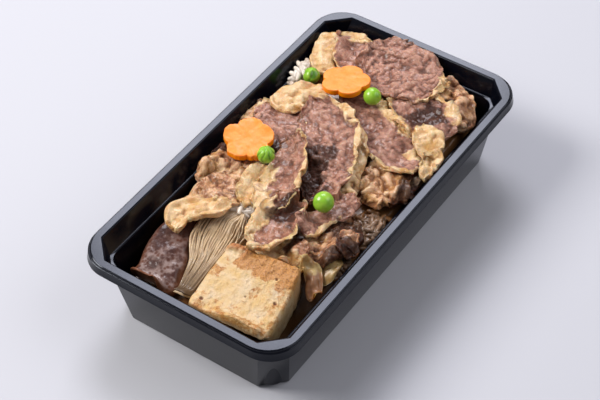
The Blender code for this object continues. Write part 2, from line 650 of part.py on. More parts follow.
def build_tofu(pile):
    """Block of grilled tofu with rounded edges and a pitted, browned top."""
    share = np.array([0.0, 0.03, 0.1, 0.22, 0.36, 0.5, 0.64, 0.78, 0.9, 0.97, 1.0])
    u, v = np.meshgrid(share, share, indexing="ij")
    a, b, c, d = (np.array(corner) for corner in TOFU_CORNERS)
    near = a + (d - a) * v[..., None]
    far = b + (c - b) * v[..., None]
    place = near + (far - near) * u[..., None]
    bulge = 0.9 * np.sin(math.pi * u) * (2 * v - 1)
    place = place + bulge[..., None] * np.array([0.1, -1.0])
    edge = np.minimum(np.minimum(u, 1 - u), np.minimum(v, 1 - v))
    rounding = 1.8 * (1 - np.sqrt(1 - (1 - np.clip(edge / 0.08, 0, 1)) ** 2))
    form = TOFU_TOP[0] + (TOFU_TOP[1] - TOFU_TOP[0]) * smooth_between(-0.2, 1.1, u)
    form = form - rounding + 0.35 * waves(place, 9.0, 41)
    place = keep_inside(place, form - 1.0)
    side = rounded_distance(np.abs(place[..., 0]), np.abs(place[..., 1]), FLOOR_HALF, LEDGE_RADIUS)
    base = np.where(side > -1.5, RIM_HEIGHT - LEDGE_DROP + 0.4, TOFU_BOTTOM)
    bottom = settle(place, base, pile)
    top = with_height(place, np.maximum(form, bottom[..., 2] + 1.0))
    close_slab("tofu", bottom, top, "tofu_grilled")
    pile.cover_grid(top)


def rest_on(pile, points):
    """How far a shape's points must rise to clear the pile."""
    return float((pile.read(points) + GAP - points[..., 2]).max())


def build_carrot(name, pile):
    """Flower of carrot with five round petals, laid on the pile at a slight lean."""
    middle, lean, turn = CARROTS[name]
    sides = 40
    angle = np.linspace(0, 2 * math.pi, sides, endpoint=False)
    lobe = np.abs(np.cos(2.5 * (angle - math.radians(turn)))) ** 0.7
    radius = CARROT_RADIUS * (1 - CARROT_NOTCH + CARROT_NOTCH * lobe)
    slope = math.tan(math.radians(lean))
    toward = np.array([-0.81, -0.585])
    shares = np.linspace(0, 1, 9)
    reach = shares[:, None] * radius[None, :]
    place = np.stack([middle[0] + reach * np.cos(angle), middle[1] + reach * np.sin(angle)], -1)
    height = -slope * ((place - np.array(middle)) @ toward)
    rise = rest_on(pile, np.dstack([place, height]))
    outline = place[-1]
    low = height[-1] + rise
    vertices = [(*point, level) for point, level in zip(outline, low)]
    vertices += [(*point, level + CARROT_THICK) for point, level in zip(outline, low)]
    faces = [tuple(range(sides))[::-1], tuple(range(sides, 2 * sides))]
    faces += [(i, (i + 1) % sides, (i + 1) % sides + sides, i + sides) for i in range(sides)]
    add_object(name, vertices, faces, "carrot_orange")
    pile.cover(np.dstack([place, height + rise + CARROT_THICK]))


def build_pea(name, pile):
    """A pea, dropped on the pile until it touches."""
    middle, radius = PEAS[name]
    segments, rings = 12, 8
    turn = np.linspace(0, 2 * math.pi, segments, endpoint=False)
    tilt = np.linspace(0, math.pi, rings + 1)[1:-1]
    ring_xy = np.sin(tilt)[:, None, None] * np.stack([np.cos(turn), np.sin(turn)], -1)
    dimple = 0.12 if name == "pea_wrinkled" else 0.0
    size = radius * (1 - dimple * np.abs(np.sin(turn)) ** 4)
    points = np.dstack([middle[0] + ring_xy[..., 0] * size, middle[1] + ring_xy[..., 1] * size,
                        np.broadcast_to(np.cos(tilt)[:, None] * radius, (rings - 1, segments))])
    poles = np.array([(*middle, radius), (*middle, -radius)])
    fine = np.linspace(0, math.pi / 2, 20)
    below = np.stack([middle[0] + radius * np.sin(fine)[:, None] * np.cos(turn),
                      middle[1] + radius * np.sin(fine)[:, None] * np.sin(turn),
                      np.broadcast_to(-radius * np.cos(fine)[:, None], (20, segments))], -1)
    rise = rest_on(pile, below)
    vertices = np.concatenate([points.reshape(-1, 3), poles]) + (0, 0, rise)
    top = len(vertices) - 2
    faces = []
    for i in range(segments):
        j = (i + 1) % segments
        faces.append((top, i, j))
        for level in range(rings - 2):
            here = level * segments
            faces.append((here + i, here + segments + i, here + segments + j, here + j))
        last = (rings - 2) * segments
        faces.append((top + 1, last + j, last + i))
    pea = add_object(name, vertices, faces, "pea_green")
    pea.data.shade_smooth()
    pile.cover(vertices)


def main():
    for thing in list(bpy.data.objects):
        bpy.data.objects.remove(thing)
    build_tray()
    pile = HeightMap()
    build_rice(pile)
    build_mushroom(pile)
    build_konjac(pile)
    build_tofu(pile)
    for seed, name in enumerate(SLICES):
        build_slice(name, pile, seed)
    for name in CARROTS:
        build_carrot(name, pile)
    for name in PEAS:
        build_pea(name, pile)


main()
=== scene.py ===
import math

import bpy
import numpy as np
from bpy.props import FloatProperty, FloatVectorProperty, IntProperty, PointerProperty
from mathutils import Matrix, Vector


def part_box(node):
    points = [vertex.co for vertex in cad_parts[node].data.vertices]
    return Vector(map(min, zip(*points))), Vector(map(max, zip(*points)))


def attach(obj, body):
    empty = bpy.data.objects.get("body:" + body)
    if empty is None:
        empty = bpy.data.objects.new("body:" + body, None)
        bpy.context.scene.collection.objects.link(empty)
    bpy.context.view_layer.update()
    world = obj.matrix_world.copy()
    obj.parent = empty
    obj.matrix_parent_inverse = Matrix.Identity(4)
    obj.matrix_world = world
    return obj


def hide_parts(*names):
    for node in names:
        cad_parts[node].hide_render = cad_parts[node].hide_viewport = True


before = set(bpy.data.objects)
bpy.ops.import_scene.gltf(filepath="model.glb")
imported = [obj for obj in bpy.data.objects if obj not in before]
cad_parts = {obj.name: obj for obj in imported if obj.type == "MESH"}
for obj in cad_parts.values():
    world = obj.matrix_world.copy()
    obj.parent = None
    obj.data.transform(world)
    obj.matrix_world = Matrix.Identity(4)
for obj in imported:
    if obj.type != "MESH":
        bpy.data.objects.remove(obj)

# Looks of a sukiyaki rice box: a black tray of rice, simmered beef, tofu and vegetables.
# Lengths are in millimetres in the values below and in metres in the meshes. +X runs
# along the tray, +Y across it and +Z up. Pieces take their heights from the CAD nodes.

bl_info = {
    "name": "Sukiyaki rice box",
    "version": (1, 0, 0),
    "blender": (4, 5, 0),
    "location": "View3D > Sidebar > Rice Box",
    "description": "Makes a tray of rice topped with simmered beef, tofu and vegetables",
    "category": "Add Mesh",
}

MM = 0.001
BODY = "root"

# Camera: direction to it, its roll, the aim's place in its own view, and its distance
CAMERA_AZIMUTH = math.radians(-54.196)
CAMERA_ELEVATION = math.radians(46.403)
CAMERA_ROLL = math.radians(-1.4396)
CAMERA_AIM = (-3.997, -15.525, 753.65)
CAMERA_TARGET_HEIGHT = 41.0
CAMERA_LENS = 101.3
CAMERA_SENSOR = 36.0
CAMERA_CLIP = (0.01, 20.0)

# Lights: name, place in metres, size and colour. Their powers are in the panel.
LIGHTS = (("key", (-0.52, 0.90, 1.0), 0.62, (1.0, 0.985, 0.96)),
          ("back", (0.86, 0.62, 1.12), 0.6, (0.93, 0.93, 1.0)),
          ("fill", (0.7, -1.1, 1.2), 1.4, (0.95, 0.96, 1.0)))
SKY_COLOUR = (0.93, 0.94, 1.0, 1.0)

# Tray
RIM_HEIGHT = 41.0
RIM_HALF = (95.0, 49.5)
RIM_CHAMFER = 9.7
BAND = 3.8
BAND_RADIUS = 15.5
SKIRT_OUT = 4.9
SKIRT_DROP = 5.0
SKIRT_WALL = 0.8
BASE_HALF = (89.0, 43.6)
LEDGE_DROP = 8.2
LEDGE_HEIGHT = RIM_HEIGHT - LEDGE_DROP
LEDGE_OUTER = (90.6, 45.1)
LEDGE_CHAMFER = 4.2
LEDGE_INNER = (89.7, 44.2)
LEDGE_RADIUS = 7.0
FLOOR_HALF = (87.3, 41.8)
FLOOR_HEIGHT = 1.5
CORNER_STEPS = 24
TRAY_BEVEL = 0.25
SHARP_ANGLE = math.radians(24)

# Size of the tables of random values that noise repeats
TABLE = 64

# Smallest triangle and weight that count, and tests of points in triangles made at once
TINY = 1e-4
TESTS_AT_ONCE = 3000000

# Slices in the order they are piled. A slice follows a path of (x, y, half width).
# fat: its fat parts, as (from, to) along the path and (from, to) across it, -1 to 1
# dark: its darker parts, sauce stain and painted shade where shadow falls on them; sink: a part
# that lies lower, and its depth
# warm: 0 for mauve lean, 1 for brown; tan: how far all of it is cooked to an even tan
# wrinkle: height and spacing of its wrinkles; wave: height of its broad waves
# fold: height and spacing of its folds, and degrees from the path to the way across them
# beads: height and spacing of rounded beads
# curl: how far its two long edges, right and left of the path, turn up
SLICES = {
    "beef_wall_brown": {
        "path": ((-5, 40.5, 3), (-12, 42, 4), (-18, 42.5, 4), (-24, 41.5, 2.5)),
        "warm": 1.0, "wrinkle": (0.9, 3.5), "dark": ((0, 0.7, -1, 1),)},
    "beef_corner_brown": {
        "path": ((84, -14, 3), (82, -23, 5), (78, -32, 5.5), (76, -39, 4.5)),
        "warm": 1.0, "tan": 0.55, "wrinkle": (1.2, 4.0), "beads": (1.2, 4.0),
        "dark": ((0.62, 1, -1, 1),)},
    "beef_corner_crumple": {
        "path": ((77, -20, 5), (74, -28, 8.5), (67, -35, 9.5), (58, -39, 7)),
        "warm": 1.0, "tan": 0.85, "wrinkle": (1.3, 4.0), "beads": (1.5, 4.0),
        "fat": ((0, 0.35, -1, 0.3),), "dark": ((0.35, 0.65, -0.6, 0.1),)},
    "fat_right_wall": {
        "path": ((24, -39, 2.5), (18, -42, 4), (12, -43, 2.5)),
        "wrinkle": (0.5, 4.0), "fat": ((0, 0.4, -1, 1),), "dark": ((0, 1, -1, 1),)},
    "beef_right_crumple": {
        "path": ((23, -15, 7), (18, -25, 12), (10, -34, 11), (3, -39, 6)),
        "warm": 1.0, "tan": 0.85, "fold": (0.5, 8.0, 60), "wrinkle": (1.0, 4.0),
        "beads": (1.9, 4.6), "fat": ((0.1, 0.9, -0.9, -0.45), (0.2, 0.8, -0.1, 0.3)),
        "dark": ((0.35, 1, 0.5, 1), (0, 0.35, 0.7, 1))},
    "onion_strip": {
        "path": ((-31, -35, 2), (-37, -37.5, 3.2), (-43, -37, 3.2), (-46, -33, 2.5)),
        "fold": (0.3, 2.2, 90), "wrinkle": (0.1, 2.0)},
    "beef_front_crumple": {
        "path": ((-10, -30, 5), (-22, -31, 8), (-34, -29, 9), (-43, -24, 6)),
        "warm": 1.0, "tan": 0.65, "fold": (0.4, 7.0, 60), "wrinkle": (1.0, 3.8),
        "beads": (1.7, 4.0), "fat": ((0.45, 0.8, -1, -0.4),),
        "dark": ((0.1, 0.45, -0.6, 0.6), (0, 1, 0.55, 1))},
    "fat_under_boat": {
        "path": ((-33, -1, 7), (-40, -9, 9), (-42.5, -19, 7.5), (-42, -28, 5)),
        "warm": 0.9, "tan": 0.3, "wrinkle": (0.8, 4.6), "beads": (0.5, 3.2),
        "fat": ((0, 0.55, -1, 1), (0.55, 1, -1, -0.1)), "dark": ((0.5, 0.8, -0.2, 1),)},
    "onion_curl": {
        "path": ((-46.5, -27, 2), (-45.7, -31, 2.6), (-47.5, -35, 2.6), (-51.5, -37.8, 2.2),
                 (-56, -39.8, 1.8)),
        "fold": (0.3, 2.0, 90), "wrinkle": (0.4, 2.0), "dark": ((0.42, 1, -1, 1),)},
    "beef_left_crumple": {
        "path": ((2, 27, 5), (-9, 30, 8), (-21, 34, 8), (-32, 36.5, 5.5)),
        "warm": 0.8, "tan": 0.75, "wrinkle": (1.1, 4.0), "beads": (1.8, 4.6),
        "fat": ((0.55, 0.95, -0.9, 0.2),), "dark": ((0.05, 0.5, -1, -0.72),)},
    "beef_left_leaf": {
        "path": ((-14, 23, 4.5), (-24, 22, 8), (-33, 25.5, 8.5), (-42, 32, 7.5), (-49, 37, 4)),
        "warm": 0.6, "tan": 0.65, "wrinkle": (0.9, 4.0), "beads": (0.7, 4.0),
        "fat": ((0, 0.22, -1, 1), (0.7, 1, -1, 1), (0, 1, 0.75, 1))},
    "fat_frill_left": {
        "path": ((-61, 29, 3.5), (-53, 32, 6), (-47, 27, 5), (-42, 20.5, 3.5), (-36, 18, 2.5)),
        "wrinkle": (0.5, 6.0), "fat": ((0, 1, -1, 1),), "curl": (1.3, 1.3)},
    "fat_left_centre": {
        "path": ((-7, 18.5, 3), (-17, 17, 4.5), (-25, 14.5, 4.5), (-32, 11, 3)),
        "wrinkle": (0.6, 6.0), "fat": ((0, 1, -1, 1),)},
    "beef_wall_piece": {
        "path": ((28, 45, 3), (21, 44.5, 5), (15, 43, 5), (9, 42, 3)),
        "warm": 0.9, "tan": 0.8, "wrinkle": (1.1, 4.0), "fat": ((0.1, 0.8, -1, 0.2),)},
    "fat_far_column": {
        "path": ((83, 42, 5), (75, 39.5, 6.5), (66, 35, 6.5), (58, 29, 4.5)),
        "wrinkle": (0.4, 7.0), "wave": 0.9, "fat": ((0, 1, -1, 1),)},
    "beef_far_left": {
        "path": ((88, 34.5, 5), (81, 30, 8.5), (74, 24, 9), (67, 16, 7)),
        "warm": 0.3, "wrinkle": (0.55, 4.0),
        "fat": ((0, 0.32, -0.15, 1), (0, 0.1, -1, 1), (0.4, 0.9, 0.7, 1), (0.3, 1, -1, -0.8))},
    "beef_right_long": {
        "path": ((58, 14, 8), (51, 6, 9), (44, -4, 9.5), (35, -17, 11), (30, -31, 11),
                 (31, -42, 6)),
        "warm": 0.15, "wrinkle": (0.7, 4.0), "curl": (1.2, 1.0),
        "dark": ((0, 0.1, -1, 1), (0.2, 0.36, -1, -0.72)),
        "fat": ((0.78, 1, 0.1, 1), (0.1, 0.66, 0.62, 1), (0.55, 0.95, -1, -0.8))},
    "beef_right_stripe": {
        "path": ((60, -5, 7), (60, -17, 12), (54, -29, 13), (46, -38, 8)),
        "warm": 0.15, "wrinkle": (0.7, 4.0), "curl": (0.8, 1.0),
        "dark": ((0.4, 0.74, -0.45, 0.62),),
        "fat": ((0.06, 0.9, -1, -0.6), (0, 0.08, -1, 0.2), (0.1, 0.8, 0.72, 1))},
    "beef_far_leaf": {
        "path": ((78, 22, 10), (78, 13, 15), (77, 3, 17.5), (75, -8, 15), (72.5, -17, 12),
                 (72, -25, 7)),
        "warm": 0.25, "wrinkle": (1.0, 3.8), "wave": 1.5,
        "fat": ((0.9, 1, -1, 1), (0.76, 1, 0.5, 1))},
    "fat_knob_ribbon": {
        "path": ((48.5, -27.5, 3.5), (44.5, -34, 6.5), (38.5, -39.5, 5), (36, -43, 3.7),
                 (30, -45.5, 3.6), (24, -44, 3)),
        "wrinkle": (0.8, 5.0), "fat": ((0, 1, -1, 1),)},
    "fat_centre_strip": {
        "path": ((34, 2, 3.5), (28, -6, 4), (16, -13, 4.5), (4, -18, 4.5), (-5, -23.5, 3.5)),
        "wrinkle": (0.6, 3.6), "beads": (1.4, 3.8), "fat": ((0, 1, -1, 1),)},
    "beef_left_centre": {
        "path": ((24, 43, 4), (22, 35, 9), (16, 25.5, 10.5), (7, 17, 8), (1, 12, 4)),
        "warm": 0.1, "wrinkle": (0.6, 4.0), "curl": (0.0, 1.4), "dark": ((0.7, 1, -1, -0.2),),
        "fat": ((0, 0.1, -1, 1), (0.05, 0.8, 0.78, 1))},
    "fat_centre_frill": {
        "path": ((21, 31, 4.5), (30, 32, 7.5), (38, 28, 7.5), (44, 20, 6)),
        "wrinkle": (0.8, 6.0), "fat": ((0, 1, -1, 1),)},
    "beef_centre": {
        "path": ((38, 21, 7), (28, 11, 11.5), (17, 0, 13), (5, -6, 12), (-6, -9.5, 10),
                 (-15, -10, 7)),
        "warm": 0.25, "wrinkle": (0.8, 4.4), "wave": 1.3, "curl": (0.6, 1.8),
        "dark": ((0.54, 1, -1, 0.05), (0.82, 1, -1, 0.6), (0.42, 0.56, -0.9, 0.2)),
        "sink": (0.56, 0.92, -0.85, 0.0, 2.2),
        "fat": ((0.03, 0.28, 0.6, 1), (0.2, 0.75, 0.9, 1))},
    "beef_left_long": {
        "path": ((13, 15.5, 2.5), (4, 12, 5), (-10, 6.5, 8), (-22, 4, 9.5), (-32, 4.5, 7)),
        "warm": 0.45, "wrinkle": (0.6, 4.0), "curl": (0.0, 2.2),
        "fat": ((0.42, 0.75, -1, -0.35), (0.75, 1, -1, 0.0), (0.9, 1, -1, 1), (0, 1, 0.84, 1))},
    "beef_boat": {
        "path": ((-19, -7.5, 5), (-29, -7, 9), (-42, -8, 9.5), (-55, -8, 5)),
        "warm": 0.8, "wrinkle": (0.5, 4.4), "curl": (1.3, 1.6), "dark": ((0.05, 0.5, -0.6, 0.65),),
        "fat": ((0, 1, 0.74, 1), (0.25, 1, -1, -0.4), (0.9, 1, -1, 1))},
    "beef_front_strip": {
        "path": ((-34, -19.5, 3), (-26, -21, 4), (-14, -25, 4.5), (-3, -27, 3)),
        "warm": 0.3, "wrinkle": (0.7, 3.8), "fat": ((0, 0.6, -1, -0.72),)},
    "beef_small_scrap": {
        "path": ((-20, -35.5, 2.5), (-26, -38, 4), (-33, -41, 3)),
        "warm": 0.9, "tan": 0.4, "wrinkle": (0.8, 3.4), "dark": ((0.3, 1, -1, 1),)},
}
MUSHROOM_PATH = ((-44.5, 34, 6), (-55, 32, 8.5), (-66.5, 29, 10.5), (-77, 25.5, 11),
                 (-86.2, 24.5, 13))
KONJAC_PATH = ((-35, 12, 8.5), (-43, 14.5, 12), (-53, 13.5, 11), (-64, 10.5, 7.5),
               (-75, 8.8, 5.4), (-86.4, 8, 4.4))

# Radius of the mushroom's round edges
MUSHROOM_ROUND = 2.4

# Konjac noodles: radius, points along and round one, rise of every second one, and depth
# of their middles and of the core below the CAD node's top
NOODLE_SEED = 5
NOODLE_RADIUS = 0.5
NOODLE_POINTS, NOODLE_SIDES = 90, 8
NOODLE_RISE, NOODLE_DEPTH, CORE_DEPTH = 0.35, 0.6, 0.9

# Tofu: its corners, its side, the points along a side of its grid, the share of the grid
# on its flat top, how far out that reaches, and the radius of its round edges
TOFU_CORNERS = ((-90.3, 1.0), (-55.0, 2.5), (-49.5, -31.0), (-88.0, -39.0))
TOFU_SIDE = 36.0
TOFU_POINTS = 150
TOFU_FLAT, TOFU_REACH = 0.8, 0.95
TOFU_ROUND = 1.7

# Dark pits in the tofu: place from its first corner, as shares of its sides, and radius
TOFU_PITS = (((0.14, 0.13), 1.1), ((0.73, 0.77), 0.8), ((0.45, 0.88), 0.9), ((0.38, 0.55), 0.5))

# Carrots: middle (x, y), lean towards the tray's (-X, -Y) corner and turn, in degrees, and
# how ragged the rim is and how far it droops
CARROTS = {"carrot_right": ((53.4, 15.9), -8.0, 12.0, 0.06, 0.0),
           "carrot_left": ((-3.0, 31.0), 8.0, 30.0, 0.5, 0.5)}
LEAN_DIRECTION = (-0.81, -0.585)
CARROT_RADIUS = 11.7
CARROT_NOTCH = 0.2
CARROT_BEVEL = 0.5
CARROT_SIDES = 200

# Peas: depth of the dents, their number, seed and depth of a hollow, in radii
PEAS = {"pea_wrinkled": (0.12, 3, 5, 0.12), "pea_round": (0.03, 1, 6, 0.0),
        "pea_front": (0.02, 1, 7, 0.0), "pea_left": (0.13, 7, 8, 0.0)}
HOLLOW_DIRECTION = (-0.35, -0.55, 0.75)

# Spots where rice shows: middle, reach, how far it is heaped and how clean it is.
# Elsewhere, and in part where it is less clean, it is coloured dark brown: sauce stain
# and painted shade.
RICE_SHOWS = (((53, 44), (8, 5), 5.5, 0.95), ((-32, 14.5), (9, 6), 4.3, 1.0),
              ((-10, -38), (9, 6), 0.0, 0.35), ((-34, -38), (5, 6), 0.0, 0.3))

# Grains of rice: place of a grain's rings, -1 to 1, and their widths; depth of the loose
# layer, how far past the bed grains may lie and how far they stay from the wall
GRAIN_ALONG = (-1.0, -0.93, -0.7, -0.3, 0.15, 0.6, 0.88, 1.0)
GRAIN_WIDTH = (0.25, 0.55, 0.86, 1.0, 1.0, 0.86, 0.6, 0.25)
GRAIN_SIDES = 7
GRAIN_LAYER = 1.3
GRAIN_SPREAD = 4.5
GRAIN_MARGIN = 2.5
GRAIN_SEED = 17

# Edges of the slices: how far in they wander and how closely, and how much by kind
EDGE_REACH = 5.0
RAGGED_SPACING = 4.5
RAGGED = {"beef": 1.0, "fat": 0.55, "onion": 0.25}

# Form of the slices: reach of the blur that takes out the CAD's facets, thinnest place,
# roundest rim, as a share of the thickness and at most, and gap that a slice is lifted
# over the pile
SMOOTHING_REACH = 2.2
THINNEST = 1.3
RIM_SHARE, RIM_MOST = 0.48, 2.0
LIFT = 1.4

# Relief of the slices: stretch of the wrinkles' spacing and share of their height on lean,
# height and spacing of fat's lumps, of lean's fine unevenness and of broad waves, share of
# a dome that lies below the surface, and the span of relief, from under to over its
# surroundings, across which hollows in painted shade go to crests with a painted highlight
WRINKLE_STRETCH, LEAN_RELIEF = 1.4, 0.6
LUMP_RELIEF, LUMP_SPACING = 1.0, 5.0
FINE_RELIEF, FINE_SPACING = 0.55, 1.9
WAVE_RELIEF, WAVE_SPACING = 1.3, 10.0
DOME_LEVEL = 0.6
CREST_RELIEF = 1.5


def smooth_between(low, high, value):
    """0 at low, 1 at high, with an S-shaped rise between them."""
    share = np.clip((value - low) / (high - low), 0.0, 1.0)
    return share * share * (3.0 - 2.0 * share)


def lattice_noise(x, y, seed):
    """Smooth noise, -1 to 1: seeded values on a unit grid, blended by an S-curve between."""
    table = np.random.default_rng(seed).uniform(-1, 1, (TABLE, TABLE))
    i, j = np.floor(x).astype(int), np.floor(y).astype(int)
    s, t = x - i, y - j
    s, t = s * s * (3 - 2 * s), t * t * (3 - 2 * t)
    near, far = (table[i % TABLE, k % TABLE] * (1 - s) + table[(i + 1) % TABLE, k % TABLE] * s
                 for k in (j, j + 1))
    return near * (1 - t) + far * t


def rough(place, spacing, seed, layers=3):
    """Layers of lattice noise, each turned, half as wide and 0.55 as high as the last."""
    x, y = place[..., 0] / spacing, place[..., 1] / spacing
    total, weight = 0.0, 1.0
    for layer in range(layers):
        total = total + weight * lattice_noise(x, y, seed * 10 + layer)
        x, y = 1.6 * x - 1.2 * y + 3.1, 1.2 * x + 1.6 * y + 7.7
        weight *= 0.55
    return total


def folds(place, spacing, turn, seed):
    """Round ridges with narrow valleys, 0 to 1: |sine| to the power 0.6 of a distance
    across the ridges that noise bends."""
    turn = math.radians(turn)
    distance = place[..., 0] * math.cos(turn) + place[..., 1] * math.sin(turn)
    bend = 0.85 * rough(place, 2.2 * spacing, seed, 2)
    return np.abs(np.sin(math.pi * (distance / spacing + bend))) ** 0.6


def beads(place, spacing, seed):
    """Round beads, 1 at a bead's middle and 0 between beads: the height of a dome over the
    distance to the nearest seeded spot, with one spot in each cell of a grid."""
    spots = np.random.default_rng(seed).uniform(0.12, 0.88, (TABLE, TABLE, 2))
    x, y = place[..., 0] / spacing, place[..., 1] / spacing
    i, j = np.floor(x).astype(int), np.floor(y).astype(int)
    nearest = np.full(x.shape, 9.0)
    for a in (-1, 0, 1):
        for b in (-1, 0, 1):
            spot = spots[(i + a) % TABLE, (j + b) % TABLE]
            gap = np.hypot(i + a + spot[..., 0] - x, j + b + spot[..., 1] - y)
            nearest = np.minimum(nearest, gap)
    return np.sqrt(np.clip(1 - (nearest / 0.8) ** 2, 0, 1))


def through(stations, share):
    """Smooth curve through stations, read at shares from 0 to 1 (Catmull-Rom blending)."""
    stations = np.asarray(stations, float)
    before = 2 * stations[0] - stations[1]
    beyond = 2 * stations[-1] - stations[-2]
    stations = np.concatenate([[before], stations, [beyond]])
    place = np.clip(share, 0, 1) * (len(stations) - 3)
    first = np.minimum(place.astype(int), len(stations) - 4)
    t = (place - first)[:, None]
    p0, p1, p2, p3 = (stations[first + k] for k in range(4))
    return 0.5 * (2 * p1 + (p2 - p0) * t + (2 * p0 - 5 * p1 + 4 * p2 - p3) * t ** 2
                  + (3 * p1 - p0 - 3 * p2 + p3) * t ** 3)


def blurred(field, times):
    """Field with each value drawn towards the mean of its four neighbours, many times."""
    for _ in range(times):
        wide = np.pad(field, 1, mode="reflect", reflect_type="odd")
        ring = wide[:-2, 1:-1] + wide[2:, 1:-1] + wide[1:-1, :-2] + wide[1:-1, 2:]
        field = 0.5 * field + 0.125 * ring
    return field


def filled(field):
    """Field with its gaps filled from what is known along its rows, then its columns."""
    for lines in (field, field.T):
        for line in lines:
            known = np.isfinite(line)
            if known.any():
                line[:] = np.interp(np.arange(len(line)), np.flatnonzero(known), line[known])
    return field


def cad_triangles(node):
    """Corners of a CAD node's triangles, in millimetres."""
    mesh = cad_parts[node].data
    corners = np.empty(len(mesh.vertices) * 3, np.float32)
    mesh.vertices.foreach_get("co", corners)
    mesh.calc_loop_triangles()
    faces = np.empty(len(mesh.loop_triangles) * 3, np.int32)
    mesh.loop_triangles.foreach_get("vertices", faces)
    return corners.reshape(-1, 3)[faces].reshape(-1, 3, 3) / MM


def cross(first, second):
    """Height of the cross product of two vectors that lie flat."""
    return first[..., 0] * second[..., 1] - first[..., 1] * second[..., 0]


def cad_span(node, place):
    """Lowest and highest height of a CAD node over each (x, y), with gaps beside the node.
    A point is in a triangle where its weights on all three corners are positive."""
    shape = place.shape[:-1]
    place = place.reshape(-1, 2)
    triangles = cad_triangles(node)
    near = ((place > triangles.min((0, 1))[:2]) & (place < triangles.max((0, 1))[:2])).all(1)
    flat = place[near]
    low = np.full(len(flat), np.inf)
    high = np.full(len(flat), -np.inf)
    for part in np.array_split(triangles, 1 + len(triangles) * len(flat) // TESTS_AT_ONCE):
        a, b, c = part[:, None, 0], part[:, None, 1], part[:, None, 2]
        to_b, to_c, to_point = b - a, c - a, flat[None] - a[..., :2]
        area = cross(to_b, to_c)
        flatwise = np.abs(area) > TINY
        area = np.where(flatwise, area, 1.0)
        on_b, on_c = cross(to_point, to_c) / area, cross(to_b, to_point) / area
        inside = flatwise & (on_b > -TINY) & (on_c > -TINY) & (on_b + on_c < 1 + TINY)
        height = a[..., 2] + on_b * to_b[..., 2] + on_c * to_c[..., 2]
        high = np.maximum(high, np.where(inside, height, -np.inf).max(0))
        low = np.minimum(low, np.where(inside, height, np.inf).min(0))
    span = np.full((2, len(place)), np.nan)
    span[:, near] = np.where(np.isfinite([low, high]), [low, high], np.nan)
    return span.reshape(2, *shape)


def smooth_span(node, place, low_times, high_times):
    """Heights of a CAD node's underside and top over a grid of places, filled beside it and
    blurred so many times."""
    low, high = cad_span(node, place)
    return blurred(filled(low), low_times), blurred(filled(high), high_times)


def inside_wall(place, height, margin=0.8):
    """Pulls points in from the tray's wall, which leans out above the ledge."""
    share = np.clip((height - LEDGE_HEIGHT) / LEDGE_DROP, 0, 1)
    limits = [inner - margin + share * (rim - outer)
              for inner, outer, rim in zip(LEDGE_INNER, LEDGE_OUTER, RIM_HALF)]
    x = np.clip(place[..., 0], -limits[0], limits[0])
    y = np.clip(place[..., 1], -limits[1], limits[1])
    over = np.clip(np.abs(x) + np.abs(y) - (limits[0] + limits[1] - RIM_CHAMFER), 0, None) / 2
    return np.stack([x - np.sign(x) * over, y - np.sign(y) * over], -1)


def grid_faces(rows, columns, start=0):
    """Quads of a grid of points, numbered row by row."""
    index = np.arange(rows * columns).reshape(rows, columns) + start
    corners = (index[:-1, :-1], index[1:, :-1], index[1:, 1:], index[:-1, 1:])
    return np.stack(corners, -1).reshape(-1, 4)


def slab_faces(rows, columns):
    """Quads of a closed slab: its lower grid, its upper grid and the strip round its edge."""
    size = rows * columns
    index = np.arange(size).reshape(rows, columns)
    edge = np.concatenate([index[:-1, 0], index[-1, :-1], index[:0:-1, -1], index[0, :0:-1]])
    after = np.roll(edge, -1)
    sides = np.stack([edge, after, after + size, edge + size], 1)
    lower, upper = grid_faces(rows, columns)[:, ::-1], grid_faces(rows, columns, size)
    return np.concatenate([lower, upper, sides])


def stack_faces(rings, around, count=1, turned=False):
    """Faces of closed stacks of rings whose points follow each other: quads round the sides
    and a face over each end. They face out where a ring runs anticlockwise seen from the
    next one, and have to be turned where it runs clockwise."""
    index = np.arange(rings * around).reshape(rings, around)
    after = np.roll(index, -1, axis=1)
    sides = np.stack([index[:-1], after[:-1], after[1:], index[1:]], -1).reshape(-1, 4)
    offset = np.arange(count)[:, None, None] * rings * around
    faces = []
    for part in (sides, index[:1, ::-1], index[-1:]):
        part = (part + offset).reshape(-1, part.shape[1])
        faces += (part[:, ::-1] if turned else part).tolist()
    return faces


def normals_of(grid):
    """Unit normals of a grid of points, from the cross product of its two directions."""
    normal = np.cross(np.gradient(grid, axis=0), np.gradient(grid, axis=1))
    normal /= np.linalg.norm(normal, axis=-1, keepdims=True) + 1e-9
    return normal * np.sign(normal[..., 2:].sum())


def add_piece(name, points, faces, finish, node=None, attributes=None):
    """Makes a smooth mesh piece from points in millimetres; it rides on the body, stands
    for its CAD node and carries the named values of its points."""
    mesh = bpy.data.meshes.new(name)
    points = np.asarray(points, float).reshape(-1, 3) * MM
    mesh.from_pydata(points.tolist(), [], faces if isinstance(faces, list) else faces.tolist())
    mesh.materials.append(bpy.data.materials[finish])
    for key, values in (attributes or {}).items():
        attribute = mesh.attributes.new(key, "FLOAT", "POINT")
        attribute.data.foreach_set("value", np.asarray(values, np.float32).ravel())
    mesh.validate()
    mesh.shade_smooth()
    piece = bpy.data.objects.new(name, mesh)
    bpy.context.scene.collection.objects.link(piece)
    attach(piece, BODY)
    if node:
        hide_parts(node)
    return piece


def add_slab(name, bottom, top, finish, node=None, values=None):
    """Makes a closed piece between two grids of points, with the same values on both. Its
    faces are turned over where its grid runs clockwise seen from above."""
    rows, columns = top.shape[:2]
    a, b, c = (top[rows // 2 + i, columns // 2 + j] for i, j in ((0, 0), (1, 0), (1, 1)))
    faces = slab_faces(rows, columns)
    faces = faces if cross(b - a, c - a) > 0 else faces[:, ::-1]
    points = np.concatenate([bottom.reshape(-1, 3), top.reshape(-1, 3)])
    both = {key: np.stack([value, value]) for key, value in (values or {}).items()}
    return add_piece(name, points, faces, finish, node, both)


